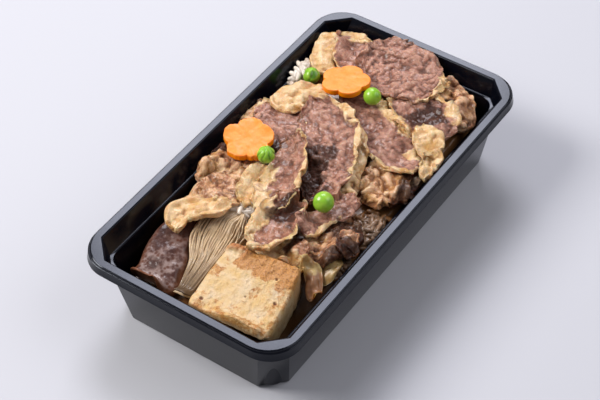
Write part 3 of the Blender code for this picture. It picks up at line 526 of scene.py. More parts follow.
class Pile:
    """Height of the food so far, in square cells."""

    STEP = 0.5
    HALF = (100.0, 56.0)

    def __init__(self):
        self.height = np.zeros(tuple(int(2 * half / self.STEP) + 2 for half in self.HALF))

    def cells(self, place):
        """The four cells about each place."""
        column = ((place[..., 0] + self.HALF[0]) / self.STEP).astype(int)
        row = ((place[..., 1] + self.HALF[1]) / self.STEP).astype(int)
        return [(column + a, row + b) for a in (0, 1) for b in (0, 1)]

    def read(self, place):
        """Height of the pile at each place."""
        return np.max([self.height[cell] for cell in self.cells(place)], axis=0)

    def cover(self, points):
        """Raises the pile to these points."""
        for cell in self.cells(points):
            np.maximum.at(self.height, cell, points[..., 2])


def path_grid(path, step, end_power=6.0, end_share=0.3):
    """Grid over a strip: u along its path, v from -1 to 1 across it, denser at the edges,
    with rounded ends. Gives places, the pattern's own (along, across) in millimetres, u, v
    and the distance to the edge."""
    path = np.array(path, float)
    length = np.linalg.norm(np.diff(path[:, :2], axis=0), axis=1).sum()
    u = np.linspace(0, 1, int(length / step) + 2)
    v = np.sin(np.linspace(-1, 1, int(2.2 * path[:, 2].max() / step) + 3) * math.pi / 2)
    centre = through(path, u)
    along = np.gradient(centre[:, :2], axis=0)
    along /= np.linalg.norm(along, axis=1, keepdims=True)
    across = np.stack([-along[:, 1], along[:, 0]], 1)
    end = np.sqrt(np.clip(1 - np.abs(2 * u - 1) ** end_power, end_share ** 2, 1))
    half = (centre[:, 2] * end)[:, None]
    place = centre[:, None, :2] + (v * half)[..., None] * across[:, None, :]
    pattern = np.stack(np.broadcast_arrays((u * length)[:, None], v * half), -1)
    edge = np.minimum(half * (1 - np.abs(v)), (length * np.minimum(u, 1 - u))[:, None])
    return place, pattern, np.broadcast_arrays(u[:, None], v[None, :]), edge


def zone_share(uv, zones, pattern, seed):
    """1 inside any of the zones and 0 outside, with a soft border that noise bends."""
    sway = 0.10 * rough(pattern, 4.0, seed)
    u, v = uv[0] + 0.6 * sway, uv[1] + 1.6 * sway
    share = np.zeros(u.shape)
    for u0, u1, v0, v1 in zones:
        inside = np.ones(u.shape)
        for value, start, low, high, soft in ((u, 0, u0, u1, 0.03), (v, -1, v0, v1, 0.07)):
            if low > start:
                inside = inside * smooth_between(low - soft, low + soft, value)
            if high < 1:
                inside = inside * smooth_between(high + soft, high - soft, value)
        share = np.maximum(share, inside)
    return share


def wrinkles(place, spacing, seed):
    """Rounded swells with narrow creases: the size of noise, whose place other noise bends.
    Gives the swells, 0 to 1, and the creases, 1 where the noise crosses zero."""
    bend = [rough(place, 1.6 * spacing, seed + more, 2) for more in (1, 2)]
    swell = np.abs(rough(place + 0.5 * spacing * np.stack(bend, -1), spacing, seed, 2))
    return np.clip(1.4 * swell, 0, 1) ** 0.7, np.clip(1 - swell / 0.16, 0, 1)


def round_drop(edge, radius):
    """Depth of a round edge below the top, by the distance to the edge: a quarter circle."""
    return radius * (1 - np.sqrt(1 - (1 - np.clip(edge / radius, 0, 1)) ** 2))


def slice_relief(look, pattern, ragged, fat_share, seed):
    """Height of a slice's relief along its normal, and depth of its grooves, 0 to 1: swells
    and fine unevenness on lean, lumps on fat, then folds, beads and broad waves. Numbers
    added to the seed keep the noises apart."""
    tall, spacing = look["wrinkle"]
    lean_share = 1 - fat_share
    swell, crease = wrinkles(pattern, WRINKLE_STRETCH * spacing, seed + 300)
    lump = beads(pattern + 1.6 * ragged, LUMP_SPACING, seed + 340)
    relief = (lean_share * LEAN_RELIEF * tall * (swell - 0.5)
              + fat_share * (LUMP_RELIEF + tall) * (lump - DOME_LEVEL))
    groove = crease * min(1.0, tall) * lean_share
    fine = rough(pattern, FINE_SPACING, seed + 500)
    relief = relief + FINE_RELIEF * min(1.0, tall) * lean_share * fine
    if "fold" in look:
        fold_tall, fold_spacing, turn = look["fold"]
        ridge = folds(pattern, fold_spacing, turn, seed + 350)
        relief = relief + fold_tall * (ridge - DOME_LEVEL)
        groove = np.maximum(groove, 0.6 * (1 - ridge) ** 2 * min(1.0, fold_tall))
    if "beads" in look:
        bead_tall, bead_spacing = look["beads"]
        bead = beads(pattern + 1.2 * ragged, bead_spacing, seed + 400)
        relief = relief + bead_tall * (bead - DOME_LEVEL)
        groove = np.maximum(groove, (1 - bead) ** 2 * min(1.0, bead_tall))
    wave = rough(pattern, WAVE_SPACING, seed + 550, 2)
    return relief + look.get("wave", WAVE_RELIEF) * wave, groove


def build_slice(name, seed, pile, sizes):
    """A slice: the CAD node's top, smoothed, moved along its normal by its relief, with
    curled and sunk parts, a round rim, ragged edges and a matching underside. Where it
    would cut into the pile it is lifted over it."""
    look = SLICES[name]
    kind = name.split("_")[0]
    path = np.array(look["path"], float) + (0.0, 0.0, sizes.overlap / MM)
    place, pattern, uv, edge = path_grid(path, sizes.fineness / MM)
    near_edge = smooth_between(EDGE_REACH, 0.0, edge)
    ragged = np.stack([rough(pattern, RAGGED_SPACING, seed + more) for more in (100, 200)], -1)
    place = place + sizes.ragged / MM * RAGGED[kind] * near_edge[..., None] * ragged
    smoothing = int((SMOOTHING_REACH / (sizes.fineness / MM)) ** 2)
    low, high = smooth_span(name, place, smoothing, smoothing)
    thick = np.clip(high - low, THINNEST, None)
    fat = zone_share(uv, look.get("fat", ()), pattern, seed + 600)
    dark = zone_share(uv, look.get("dark", ()), pattern, seed + 650)
    fat_share = smooth_between(0.3, 0.7, fat)
    relief, groove = slice_relief(look, pattern, ragged, fat_share, seed)
    relief = relief + near_edge * rough(pattern, EDGE_REACH, seed + 560, 2)
    # Painted light: 1 where the relief stands over its surroundings, for a painted highlight, and
    # 0 where it sinks under them, for painted shade
    crest = np.clip(0.5 + (relief - blurred(relief, 60)) / CREST_RELIEF, 0, 1)
    right, left = look.get("curl", (0.0, 0.0))
    curl = np.where(uv[1] < 0, right, left) * smooth_between(0.55, 1.0, np.abs(uv[1]))
    if "sink" in look:
        curl = curl - look["sink"][4] * zone_share(uv, (look["sink"][:4],), pattern, seed + 680)
    high = high + curl
    high = high + blurred(np.clip(pile.read(place) + LIFT - high, 0, None), 4)
    place = inside_wall(place, high)
    drop = round_drop(edge, np.minimum(RIM_SHARE * thick, RIM_MOST))
    normal = normals_of(np.dstack([place, blurred(high, 6)]))
    top = np.dstack([place, high]) + relief[..., None] * normal
    top[..., 2] -= drop
    bottom = np.dstack([place, high - thick + drop])
    top[..., 2] = np.maximum(top[..., 2], bottom[..., 2] + 0.05)
    pile.cover(top)
    # The dark value and the grooves colour a slice with sauce and painted shade; the crest value
    # gives painted highlight and shade
    values = {"fat": fat, "warm": np.full(edge.shape, look.get("warm", 0.5)),
              "tan": look.get("tan", 0.0) * (1 + 0.25 * rough(pattern, 5.0, seed + 700)),
              "groove": groove, "dark": dark, "crest": crest,
              "rim": smooth_between(2.2, 0.2, edge)}
    finish = "clear_onion" if kind == "onion" else "simmered_meat"
    add_slab(name + "_piece", bottom, top, finish, name, values)


def build_mushroom(pile, sizes):
    """The mushroom slice: its CAD top, smoothed, with round edges and fine unevenness."""
    place, pattern, uv, edge = path_grid(MUSHROOM_PATH, sizes.fineness / MM, end_power=12.0,
                                         end_share=0.5)
    low, high = smooth_span("mushroom", place, 24, 24)
    drop = round_drop(edge, MUSHROOM_ROUND)
    high = high + 0.35 * rough(pattern, 5.0, 31) + 0.3
    place = inside_wall(place, LEDGE_HEIGHT)
    top = np.dstack([place, high - drop])
    bottom = np.dstack([place, np.minimum(low + 0.5 * drop, high - drop - 0.1)])
    add_slab("mushroom_slice", bottom, top, "simmered_mushroom", "mushroom",
             {"along": uv[0], "rim": smooth_between(3.5, 0.5, edge)})
    pile.cover(top)


def circle(count):
    """Angles of evenly spaced points round a circle."""
    return np.linspace(0, 2 * math.pi, count, endpoint=False)


def tubes(centres, radius, around):
    """Tubes carried along rows of centres: a circle of points in the plane across each
    row's direction, smaller at the two ends. Gives points and faces."""
    along = np.gradient(centres, axis=1)
    along /= np.linalg.norm(along, axis=-1, keepdims=True)
    side = np.cross(along, (0.0, 0.0, 1.0))
    side /= np.linalg.norm(side, axis=-1, keepdims=True)
    up = np.cross(side, along)
    angle = circle(around)[:, None]
    count, rows = centres.shape[:2]
    taper = np.sqrt(np.clip(1 - np.abs(np.linspace(-1, 1, rows)) ** 30, 0.02, 1))
    size = (radius * taper)[..., None, None]
    points = centres[:, :, None] + size * (np.cos(angle) * side[:, :, None]
                                           + np.sin(angle) * up[:, :, None])
    return points.reshape(-1, 3), stack_faces(rows, around, count, turned=True)


def read_grid(grid, row, column):
    """Points of a grid at places between its rows and columns, blended from the four
    corners round them."""
    i = np.minimum(row.astype(int), grid.shape[0] - 2)
    j = np.minimum(column.astype(int), grid.shape[1] - 2)
    s, t = (row - i)[..., None], (column - j)[..., None]
    here = grid[i, j] * (1 - t) + grid[i, j + 1] * t
    after = grid[i + 1, j] * (1 - t) + grid[i + 1, j + 1] * t
    return here * (1 - s) + after * s


def build_konjac(sizes):
    """The noodle bundle: fine noodles side by side and in two layers over a core."""
    place, _, uv, edge = path_grid(KONJAC_PATH, 0.8, end_power=8.0, end_share=0.6)
    low, high = smooth_span("konjac_noodles", place, 12, 12)
    rows, columns = edge.shape
    drop = round_drop(edge, 2.0)
    place = inside_wall(place, LEDGE_HEIGHT)
    top = np.dstack([place, high - CORE_DEPTH - drop])
    bottom = np.dstack([place, np.minimum(low, top[..., 2] - 0.2)])
    core = add_slab("konjac_core", bottom, top, "konjac_noodle", None)
    draw = np.random.default_rng(NOODLE_SEED)
    count = sizes.noodles
    lane = np.linspace(-0.93, 0.93, count)[:, None] + draw.uniform(-0.03, 0.03, (count, 1))
    share = np.linspace(0.01, 0.99, NOODLE_POINTS)
    sway = 0
    for wave in (4.0, 9.0, 17.0):
        height, start = draw.uniform(-0.05, 0.05, (count, 1)), draw.uniform(0, 6, (count, 1))
        sway = sway + height * np.sin(share * wave + start)
    lane = np.clip(lane + sway, -0.97, 0.97)
    surface = np.dstack([place, high - NOODLE_DEPTH - 0.7 * drop])
    centres = read_grid(surface, np.broadcast_to(share * (rows - 1), lane.shape),
                        np.interp(lane, uv[1][0], np.arange(columns)))
    centres[..., 2] += (np.arange(count) % 2)[:, None] * NOODLE_RISE + 3.0 * sway
    radius = np.full(lane.shape, NOODLE_RADIUS) * draw.uniform(0.85, 1.15, (count, 1))
    points, faces = tubes(centres, radius, NOODLE_SIDES)
    stain = np.repeat(smooth_between(0.45, 1.0, share), NOODLE_SIDES)
    add_piece("konjac_strands", points, faces, "konjac_noodle", "konjac_noodles",
              {"along": np.tile(stain, count)})
    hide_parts("konjac_noodles")


def tofu_crust(u, v, pattern):
    """The tofu's browned crust, dark pits and burnt bumps, each 0 to 1, by u and v, the
    shares of its two sides. Noise bends their borders."""
    sway = 0.12 * rough(pattern, 6.0, 72)
    crust = np.maximum.reduce([
        smooth_between(0.62, 0.78, u + sway) * smooth_between(0.12, 0.3, v + sway),
        0.6 * smooth_between(0.3, 0.04, u + sway), 0.4 * smooth_between(0.74, 0.97, v + sway),
        0.9 * smooth_between(0.84, 0.95, u + sway),
        0.55 * smooth_between(0.3, 0.8, rough(pattern, 7.0, 78))])
    pits = np.zeros(u.shape)
    for (pit_u, pit_v), size in TOFU_PITS:
        gap = np.hypot((u - pit_u) * TOFU_SIDE, (v - pit_v) * TOFU_SIDE)
        pits = np.maximum(pits, smooth_between(size, 0.5 * size, gap))
    burnt = smooth_between(0.80, 0.92, u + sway) * smooth_between(0.42, 0.22, v + sway)
    return crust, pits, burnt


def build_tofu(pile):
    """The tofu: a rounded block. Each point of a square grid goes from the middle out to
    the edge, round it and down the side; the top has dents, pits and a browned crust."""
    line = np.linspace(-1, 1, TOFU_POINTS)
    s, t = np.meshgrid(line, line, indexing="ij")
    out = np.maximum(np.abs(s), np.abs(t))
    corner = (np.abs(s) ** 8 + np.abs(t) ** 8) ** (1 / 8) / np.maximum(out, 1e-9)
    turned = smooth_between(TOFU_FLAT, 0.90, out) * math.pi / 2
    reach = np.where(out < TOFU_FLAT, TOFU_REACH * out / TOFU_FLAT,
                     TOFU_REACH + (1 - TOFU_REACH) * np.sin(turned))
    scale = reach / np.maximum(out, 1e-9) / np.where(out > 0.5, 1 + 0.6 * (corner - 1), 1)
    u, v = (1 + s * scale) / 2, (1 + t * scale) / 2
    a, b, c, d = (np.array(one) for one in TOFU_CORNERS)
    near = a + (d - a) * v[..., None]
    far = b + (c - b) * v[..., None]
    place = near + (far - near) * u[..., None]
    place = place + (0.9 * np.sin(math.pi * u) * (2 * v - 1))[..., None] * np.array([0.1, -1.0])
    low, high = smooth_span("tofu", place, 30, 60)
    pattern = place + 50.0
    crust, pits, burnt = tofu_crust(u, v, pattern)
    relief = 0.45 * rough(pattern, 7.0, 74, 2) + 0.16 * rough(pattern, 1.3, 75) - 0.9 * pits
    relief = relief + 0.35 * crust * rough(pattern, 1.8, 76, 2)
    relief = relief + burnt * (0.4 + 1.3 * beads(pattern, 2.6, 79))
    down = smooth_between(0.88, 1.0, out)
    top_height = high + relief * (1 - down) - TOFU_ROUND * (1 - np.cos(turned))
    height = top_height * (1 - down) + (low + 0.3) * down
    normal = normals_of(np.dstack([place, height]))
    top = np.dstack([inside_wall(place, high), height])
    side_place = np.stack([place[..., 0] + place[..., 1], height], -1)
    side_relief = 0.25 * rough(side_place, 3.0, 77) * smooth_between(0.85, 0.95, out)
    top[..., :2] += side_relief[..., None] * normal[..., :2]
    bottom = np.dstack([top[..., :2], np.minimum(low, height - 0.05)])
    side = np.maximum(down, smooth_between(0.84, 0.9, out) * 0.8)
    add_slab("tofu_block", bottom, top, "grilled_tofu", "tofu",
             {"crust": crust, "pit": pits, "side": side, "burnt": burnt})
    pile.cover(top)


def build_carrot(name, seed):
    """A flower of carrot: a rounded profile, from the middle of the top round to the middle
    of the underside, carried round an outline of five petals."""
    middle, lean, turn, ragged, droop = CARROTS[name]
    angle = circle(CARROT_SIDES)
    lobe = np.abs(np.cos(2.5 * (angle - math.radians(turn)))) ** 0.62
    rim = np.stack([6 * np.cos(angle), 6 * np.sin(angle)], -1) + 40.0
    radius = CARROT_RADIUS * (1 - CARROT_NOTCH + CARROT_NOTCH * lobe)
    radius = radius + ragged * rough(rim, 2.2, seed)
    low, high = cad_span(name, np.array([middle]))
    thick = float(high[0] - low[0])
    arc = np.linspace(0, math.pi / 2, 5)[1:]
    inner = np.linspace(0.001, 0.96, 26)
    reach = np.concatenate([inner, 0.96 + 0.04 * np.sin(arc), [1.0, 1.0],
                            0.96 + 0.04 * np.cos(arc), inner[-2::-1]])
    fall = np.concatenate([0 * inner, CARROT_BEVEL * (1 - np.cos(arc)),
                           [0.4 * thick, 0.7 * thick],
                           thick - CARROT_BEVEL * (1 - np.sin(arc)), thick + 0 * inner[1:]])
    place = np.stack([middle[0] + reach[:, None] * radius * np.cos(angle),
                      middle[1] + reach[:, None] * radius * np.sin(angle)], -1)
    toward = (place - np.array(middle)) @ np.array(LEAN_DIRECTION)
    height = float(high[0]) - fall[:, None] - math.tan(math.radians(lean)) * toward
    height = height + 0.12 * rough(place, 4.0, seed + 1) * (fall < 0.6 * thick)[:, None]
    outward = smooth_between(0.6, 1.0, reach)[:, None]
    height = height - droop * outward * rough(rim, 3.0, seed + 2)
    faces = stack_faces(len(reach), CARROT_SIDES, turned=True)
    side = np.broadcast_to(smooth_between(0.1, 0.8, fall)[:, None], height.shape)
    add_piece(name + "_flower", np.dstack([place, height]), faces, "carrot_flesh", name,
              {"side": side})


def build_pea(name):
    """A pea: a ball whose radius is lowered by soft dents that run from pole to pole."""
    dent, count, seed, hollow = PEAS[name]
    low, high = (np.array(corner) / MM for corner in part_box(name))
    middle, radius = (low + high) / 2, (high[2] - low[2]) / 2
    rings, around = 40, 64
    tilt = np.linspace(0.02, math.pi - 0.02, rings)[:, None]
    turn = circle(around)[None, :]
    direction = np.stack(np.broadcast_arrays(
        np.sin(tilt) * np.cos(turn), np.sin(tilt) * np.sin(turn), np.cos(tilt)), -1)
    ridge = np.abs(np.sin(count * turn / 2 + 0.4 + 0.7 * np.sin(3 * tilt + turn))) ** 0.5
    dented = 1 - dent * (1 - ridge) * np.sin(tilt) ** 0.5
    if hollow:
        toward = np.array(HOLLOW_DIRECTION)
        nearness = direction @ (toward / np.linalg.norm(toward))
        dented = dented - hollow * smooth_between(0.75, 1.0, nearness)
    dented = dented - 0.02 * np.clip(rough(direction[..., :2] * 4 + 9, 1.4, seed), -1, 1)
    points = middle + direction * (radius * np.minimum(dented, 1.0))[..., None]
    add_piece(name + "_ball", points, stack_faces(rings, around, turned=True), "pea_skin", name,
              {"ridge": 1 - np.broadcast_to(dented, points.shape[:2])})


def grain_shape():
    """Points of one grain of rice: rings of a spindle, a little bent, with blunt ends."""
    along, width = (np.array(values)[:, None] for values in (GRAIN_ALONG, GRAIN_WIDTH))
    angle = circle(GRAIN_SIDES)
    return np.stack(np.broadcast_arrays(
        along, 0.42 * width * np.cos(angle) + 0.12 * along ** 2,
        0.36 * width * np.sin(angle)), -1).reshape(-1, 3)


def shown(place):
    """Height that the rice is heaped at each place, and how clean it is: 1 to 0, falling
    off round the spots where rice shows. Rice that is less clean is coloured dark brown,
    sauce stain and painted shade."""
    heap, clean = np.zeros(place.shape[:-1]), np.zeros(place.shape[:-1])
    for middle, reach, height, pale in RICE_SHOWS:
        share = (place - middle) / reach
        share = smooth_between(1.6, 0.7, np.hypot(share[..., 0], share[..., 1]))
        heap, clean = np.maximum(heap, height * share), np.maximum(clean, pale * share)
    return heap, clean


def open_to_sky(place):
    """True where no piece but the tray and the rice lies over a place or near it."""
    angle = circle(8)
    spread = np.stack([np.cos(angle), np.sin(angle)], -1)
    around = np.concatenate([place[:, None], place[:, None] + 3.0 * spread], 1)
    covered = np.zeros(around.shape[:2], bool)
    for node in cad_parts:
        if node not in ("tray", "rice"):
            covered |= np.isfinite(cad_span(node, around)[1])
    return ~covered.all(1)


def build_rice(sizes):
    """The bed of rice: a core under a layer of scattered grains, where they can be seen."""
    half = grown(FLOOR_HALF, -0.9)
    rows, columns = 130, 70
    s, t = np.meshgrid(np.linspace(-1, 1, rows), np.linspace(-1, 1, columns), indexing="ij")
    squeeze = 1 - 0.09 * (s * t) ** 8
    place = np.stack([s * half[0], t * half[1]], -1) * squeeze[..., None]
    high = blurred(filled(cad_span("rice", place)[1]), 14)
    heap, clean = shown(place)
    core_top = high - GRAIN_LAYER + 0.5 * rough(place, 4.0, 81) + heap
    bottom = np.dstack([place, np.full(core_top.shape, FLOOR_HEIGHT + 0.5)])
    # Rice away from the clean spots is coloured dark brown: sauce stain and painted shade
    core = add_slab("rice_core", bottom, np.dstack([place, core_top]), "steamed_rice", None,
                    {"steeped": 1 - clean ** 2})
    draw = np.random.default_rng(GRAIN_SEED)
    spot = draw.uniform(-1, 1, (sizes.grains, 2)) * grown(half, GRAIN_SPREAD)
    row = np.clip((spot[:, 0] / half[0] + 1) / 2, 0, 1) * (rows - 1)
    column = np.clip((spot[:, 1] / half[1] + 1) / 2, 0, 1) * (columns - 1)
    height = core_top[np.round(row).astype(int), np.round(column).astype(int)]
    kept = (shown(spot)[1] > draw.uniform(0.02, 0.3, len(spot))) & open_to_sky(spot)
    kept &= np.all(inside_wall(spot, height, GRAIN_MARGIN) == spot, 1)
    spot, height, count = spot[kept], height[kept], int(kept.sum())
    height = height + draw.uniform(-0.3, GRAIN_LAYER, count)
    turn = draw.uniform(0, math.pi * 2, count)
    rise = draw.uniform(-0.3, 0.3, count)
    along = np.stack([np.cos(turn) * np.cos(rise), np.sin(turn) * np.cos(rise), np.sin(rise)], 1)
    across = np.stack([-np.sin(turn), np.cos(turn), 0 * turn], 1)
    up = np.cross(along, across)
    shape = grain_shape()
    size = (sizes.grain_length / MM / 2 * draw.uniform(0.82, 1.08, count))[:, None, None]
    grains = np.column_stack([spot, height])[:, None] + size * sum(
        shape[:, axis, None] * one[:, None] for axis, one in enumerate((along, across, up)))
    grains[..., :2] = inside_wall(grains[..., :2], grains[..., 2])
    faces = stack_faces(len(GRAIN_ALONG), GRAIN_SIDES, count)
    # Grains away from the clean spots get the same dark brown of sauce stain and painted shade
    add_piece("rice_grains", grains, faces, "steamed_rice", "rice",
              {"steeped": np.repeat(1 - shown(spot)[1] ** 2, len(shape))})
    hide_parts("rice")


def ring(half, corner, height, rounded):
    """One ring of the tray: a rectangle whose corners are cut, or rounded as an arc."""
    share = np.linspace(0, 1, CORNER_STEPS + 1)
    if rounded:
        inward_x = corner * (1 - np.cos(share * math.pi / 2))
        inward_y = corner * (1 - np.sin(share * math.pi / 2))
    else:
        inward_x = corner * share
        inward_y = corner * (1 - share)
    points = []
    for turn, side in enumerate(((1, 1), (-1, 1), (-1, -1), (1, -1))):
        x, y = side[0] * (half[0] - inward_x), side[1] * (half[1] - inward_y)
        if turn % 2:
            x, y = x[::-1], y[::-1]
        points.append(np.stack([x, y, np.full(x.shape, height)], -1))
    return np.concatenate(points)


def grown(half, amount):
    """Half sizes of a rectangle, each made larger by an amount."""
    return (half[0] + amount, half[1] + amount)


def build_tray():
    """The tray: its profile's corners as rings, joined up the outside, over the rim and
    down the inside, with small bevels."""
    top, lip, out, band = RIM_HEIGHT, RIM_HEIGHT - SKIRT_DROP, SKIRT_OUT, BAND_RADIUS
    profile = (
        (BASE_HALF, -1.2, RIM_CHAMFER, 0.0), (BASE_HALF, -0.3, RIM_CHAMFER, 0.4),
        (BASE_HALF, 0.0, RIM_CHAMFER, 1.2), (RIM_HALF, -0.4, RIM_CHAMFER, top - 2.4),
        (RIM_HALF, out - SKIRT_WALL - 0.4, band, top - 1.5),
        (RIM_HALF, out - SKIRT_WALL, band, lip), (RIM_HALF, out, band, lip),
        (RIM_HALF, out - 0.2, band, lip + 0.6), (RIM_HALF, out - 0.5, band, top - 1.1),
        (RIM_HALF, out - 0.8, band, top - 0.9), (RIM_HALF, BAND + 0.1, band, top - 0.9),
        (RIM_HALF, BAND, band, top - 0.3), (RIM_HALF, BAND - 0.4, band, top),
        (RIM_HALF, 0.3, RIM_CHAMFER, top), (RIM_HALF, -0.3, RIM_CHAMFER, top - 0.4),
        (LEDGE_OUTER, 0.0, LEDGE_CHAMFER, LEDGE_HEIGHT),
        (LEDGE_INNER, 0.0, LEDGE_RADIUS, LEDGE_HEIGHT - 0.3),
        (FLOOR_HALF, 0.0, LEDGE_RADIUS, FLOOR_HEIGHT + 0.6),
        (FLOOR_HALF, -0.6, LEDGE_RADIUS, FLOOR_HEIGHT))
    rings = [ring(grown(half, amount), corner, height, corner in (BAND_RADIUS, LEDGE_RADIUS))
             for half, amount, corner, height in profile]
    tray = add_piece("tray_shell", np.concatenate(rings), stack_faces(len(rings), len(rings[0])),
                     "black_tray", "tray")
    tray.data.set_sharp_from_angle(angle=SHARP_ANGLE)
    bevel = tray.modifiers.new("soft edges", "BEVEL")
    bevel.width = TRAY_BEVEL * MM
    bevel.segments = 2
    bevel.limit_method = "ANGLE"
    bevel.angle_limit = SHARP_ANGLE


class Finish:
    """A material being made: a Principled shader and the nodes that feed it."""

    def __init__(self, name, colours, **sockets):
        self.colours = colours
        made = bpy.data.materials.new(name)
        made.use_nodes = True
        self.tree = made.node_tree
        self.shader = self.tree.nodes["Principled BSDF"]
        for socket, value in sockets.items():
            self.set(self.shader, socket.replace("_", " "), value)
        self.place = self.add("ShaderNodeTexCoord").outputs["Object"]

    def set(self, node, socket, value):
        """Links a socket to an output, or gives it a value, or a colour by its name."""
        if isinstance(value, bpy.types.NodeSocket):
            self.tree.links.new(value, node.inputs[socket])
            return
        if isinstance(value, str):
            value = getattr(self.colours, value)
        colour = node.inputs[socket].type == "RGBA"
        node.inputs[socket].default_value = (*value, 1.0) if colour else value

    def add(self, kind, inputs=None, **options):
        """A new node with these inputs and options."""
        node = self.tree.nodes.new(kind)
        for option, value in options.items():
            setattr(node, option, value)
        for socket, value in (inputs or {}).items():
            self.set(node, socket, value)
        return node

    def noise(self, size, detail=3.0, stretch=(1, 1, 1), roughness=0.55):
        """Noise with spots about this size in millimetres, stretched by the given factors."""
        place = self.add("ShaderNodeMapping", {"Vector": self.place, "Scale": stretch})
        inputs = {"Vector": place.outputs[0], "Scale": 1 / (size * MM), "Detail": detail,
                  "Roughness": roughness}
        return self.add("ShaderNodeTexNoise", inputs).outputs["Fac"]

    def cells(self, size):
        """Distance to the middle of cells about this size in millimetres, in cells."""
        inputs = {"Vector": self.place, "Scale": 1 / (size * MM)}
        return self.add("ShaderNodeTexVoronoi", inputs).outputs["Distance"]

    def value(self, attribute):
        """One of the values that the piece carries on its points."""
        return self.add("ShaderNodeAttribute", attribute_name=attribute).outputs["Fac"]

    def ramp(self, value, low, high, to_low=0.0, to_high=1.0):
        """Value moved from the range low to high into the range to_low to to_high."""
        inputs = {"Value": value, "From Min": low, "From Max": high, "To Min": to_low,
                  "To Max": to_high}
        return self.add("ShaderNodeMapRange", inputs).outputs["Result"]

    def math(self, operation, first, second):
        """Result of an operation on two values."""
        return self.add("ShaderNodeMath", {0: first, 1: second}, operation=operation).outputs[0]

    def times(self, first, second):
        """Product of two values."""
        return self.math("MULTIPLY", first, second)

    def plus(self, first, second):
        """Sum of two values."""
        return self.math("ADD", first, second)

    def mix(self, share, first, second):
        """The first colour where the share is 0 and the second where it is 1."""
        node = self.add("ShaderNodeMix", data_type="RGBA")
        for socket, value in ((0, share), (6, first), (7, second)):
            self.set(node, socket, value)
        return node.outputs[2]

    def layers(self, body, *layers):
        """A colour under layers, each a share and the colour that covers so much of it."""
        for share, colour in layers:
            body = self.mix(share, body, colour)
        return body

    def bump(self, height, distance, strength=1.0, below=None):
        """Bump of a height in millimetres."""
        inputs = {"Height": height, "Distance": distance * MM, "Strength": strength}
        if below:
            inputs["Normal"] = below
        return self.add("ShaderNodeBump", inputs).outputs[0]

    def finish(self, colour, roughness, normal=None):
        """Feeds the shader."""
        self.set(self.shader, "Base Color", colour)
        self.set(self.shader, "Roughness", roughness)
        if normal is not None:
            self.set(self.shader, "Normal", normal)


def food(name, colours, coat, gloss, inside, depth, spread, **sockets):
    """A moist finish: weight and roughness of its coat, and weight, depth in metres and
    spread in red, green and blue of the light inside it."""
    return Finish(name, colours, Coat_Weight=coat, Coat_Roughness=gloss, Subsurface_Weight=inside,
                  Subsurface_Scale=depth, Subsurface_Radius=spread, **sockets)


def simmered_meat(colours):
    """Lean and fat by the piece's own values, with fibres, pale streaks, flecks and sauce, a
    painted highlight on crests, and painted shade in hollows, creases and shaded parts.
    """
    look = food("simmered_meat", colours, 0.3, 0.14, 0.3, 0.003, (1.0, 0.4, 0.2),
                Specular_IOR_Level=0.13)
    broad, medium, fine = look.noise(6.0), look.noise(2.0, 4, roughness=0.65), look.noise(0.7)
    fibre = look.noise(1.3, 4, (1.0, 0.3, 1.0), 0.65)
    # Painted light: high lightens the crests as a painted highlight, and low darkens the hollows
    # as painted shade
    crest = look.plus(look.value("crest"), look.ramp(fine, 0.2, 0.8, -0.22, 0.22))
    high, low = look.ramp(crest, 0.45, 0.85), look.ramp(crest, 0.50, 0.12)
    lean = look.layers(
        look.mix(look.value("warm"), "lean_mauve", "lean_brown"),
        (look.ramp(broad, 0.38, 0.62, 0.0, 0.6), "lean_deep"),
        (look.ramp(fibre, 0.48, 0.70, 0.0, 0.5), "lean_pale_and_highlight"),
        (look.ramp(medium, 0.30, 0.46, 0.5, 0.0), "lean_dark_and_shade"),
        (look.times(high, 0.45), "lean_pale_and_highlight"), (look.times(low, 0.65), "lean_dark_and_shade"))
    fat = look.layers(
        "fat_cream", (look.ramp(broad, 0.42, 0.66), "fat_gold"),
        (look.ramp(medium, 0.56, 0.78, 0.0, 0.4), "fat_tan_and_shade"),
        (look.times(high, 0.8), "fat_crest_highlight"), (look.times(low, 0.6), "fat_tan_and_shade"))
    cooked = look.layers(
        "cooked_brown_and_shade", (look.ramp(medium, 0.38, 0.62), "cooked_tan"),
        (look.ramp(broad, 0.45, 0.65, 0.0, 0.6), "fat_gold"),
        (look.times(high, 0.85), "cooked_crest_highlight"),
        (look.times(low, 0.8), "cooked_brown_and_shade"))
    edge = look.plus(look.value("fat"), look.ramp(medium, 0.2, 0.8, -0.3, 0.3))
    rim = look.times(look.value("rim"), look.ramp(broad, 0.42, 0.6, 0.0, 0.15))
    # Sauce stain and painted shade: the dark parts of a slice, where shadow falls, turn near-black
    # brown
    steeped = look.times(look.value("dark"), look.ramp(medium, 0.3, 0.65, 1.0, 0.82))
    # Sauce and painted shade in the creases
    groove = look.times(look.value("groove"), look.ramp(fine, 0.2, 0.7, 0.5, 0.95))
    body = look.layers(
        lean, (look.ramp(edge, 0.12, 1.0), fat), (look.value("tan"), cooked),
        (rim, "fat_tan_and_shade"), (steeped, "steeped"), (groove, "sauce"))
    normal = look.bump(fine, 0.35, 0.7, look.bump(medium, 1.0, 0.9))
    look.finish(body, look.ramp(medium, 0.3, 0.7, 0.38, 0.6), normal)


def clear_onion(colours):
    """Soft pale flesh with fine lengthwise grain, stained by sauce, with sauce and painted shade
    in its creases and on its dark parts.
    """
    look = food("clear_onion", colours, 0.2, 0.2, 0.3, 0.003, (1.0, 0.7, 0.3))
    tint, grain = look.noise(3.0), look.noise(0.8, 2, (0.3, 1.0, 1.0))
    body = look.layers(
        "onion", (look.ramp(tint, 0.35, 0.65), "onion_stain"),
        # Sauce and painted shade in the creases and on the dark parts
        (look.times(look.value("groove"), 0.5), "sauce"),
        (look.times(look.value("dark"), 0.85), "cooked_brown_and_shade"))
    look.finish(body, look.ramp(tint, 0.3, 0.7, 0.35, 0.5), look.bump(grain, 0.15, 0.5))


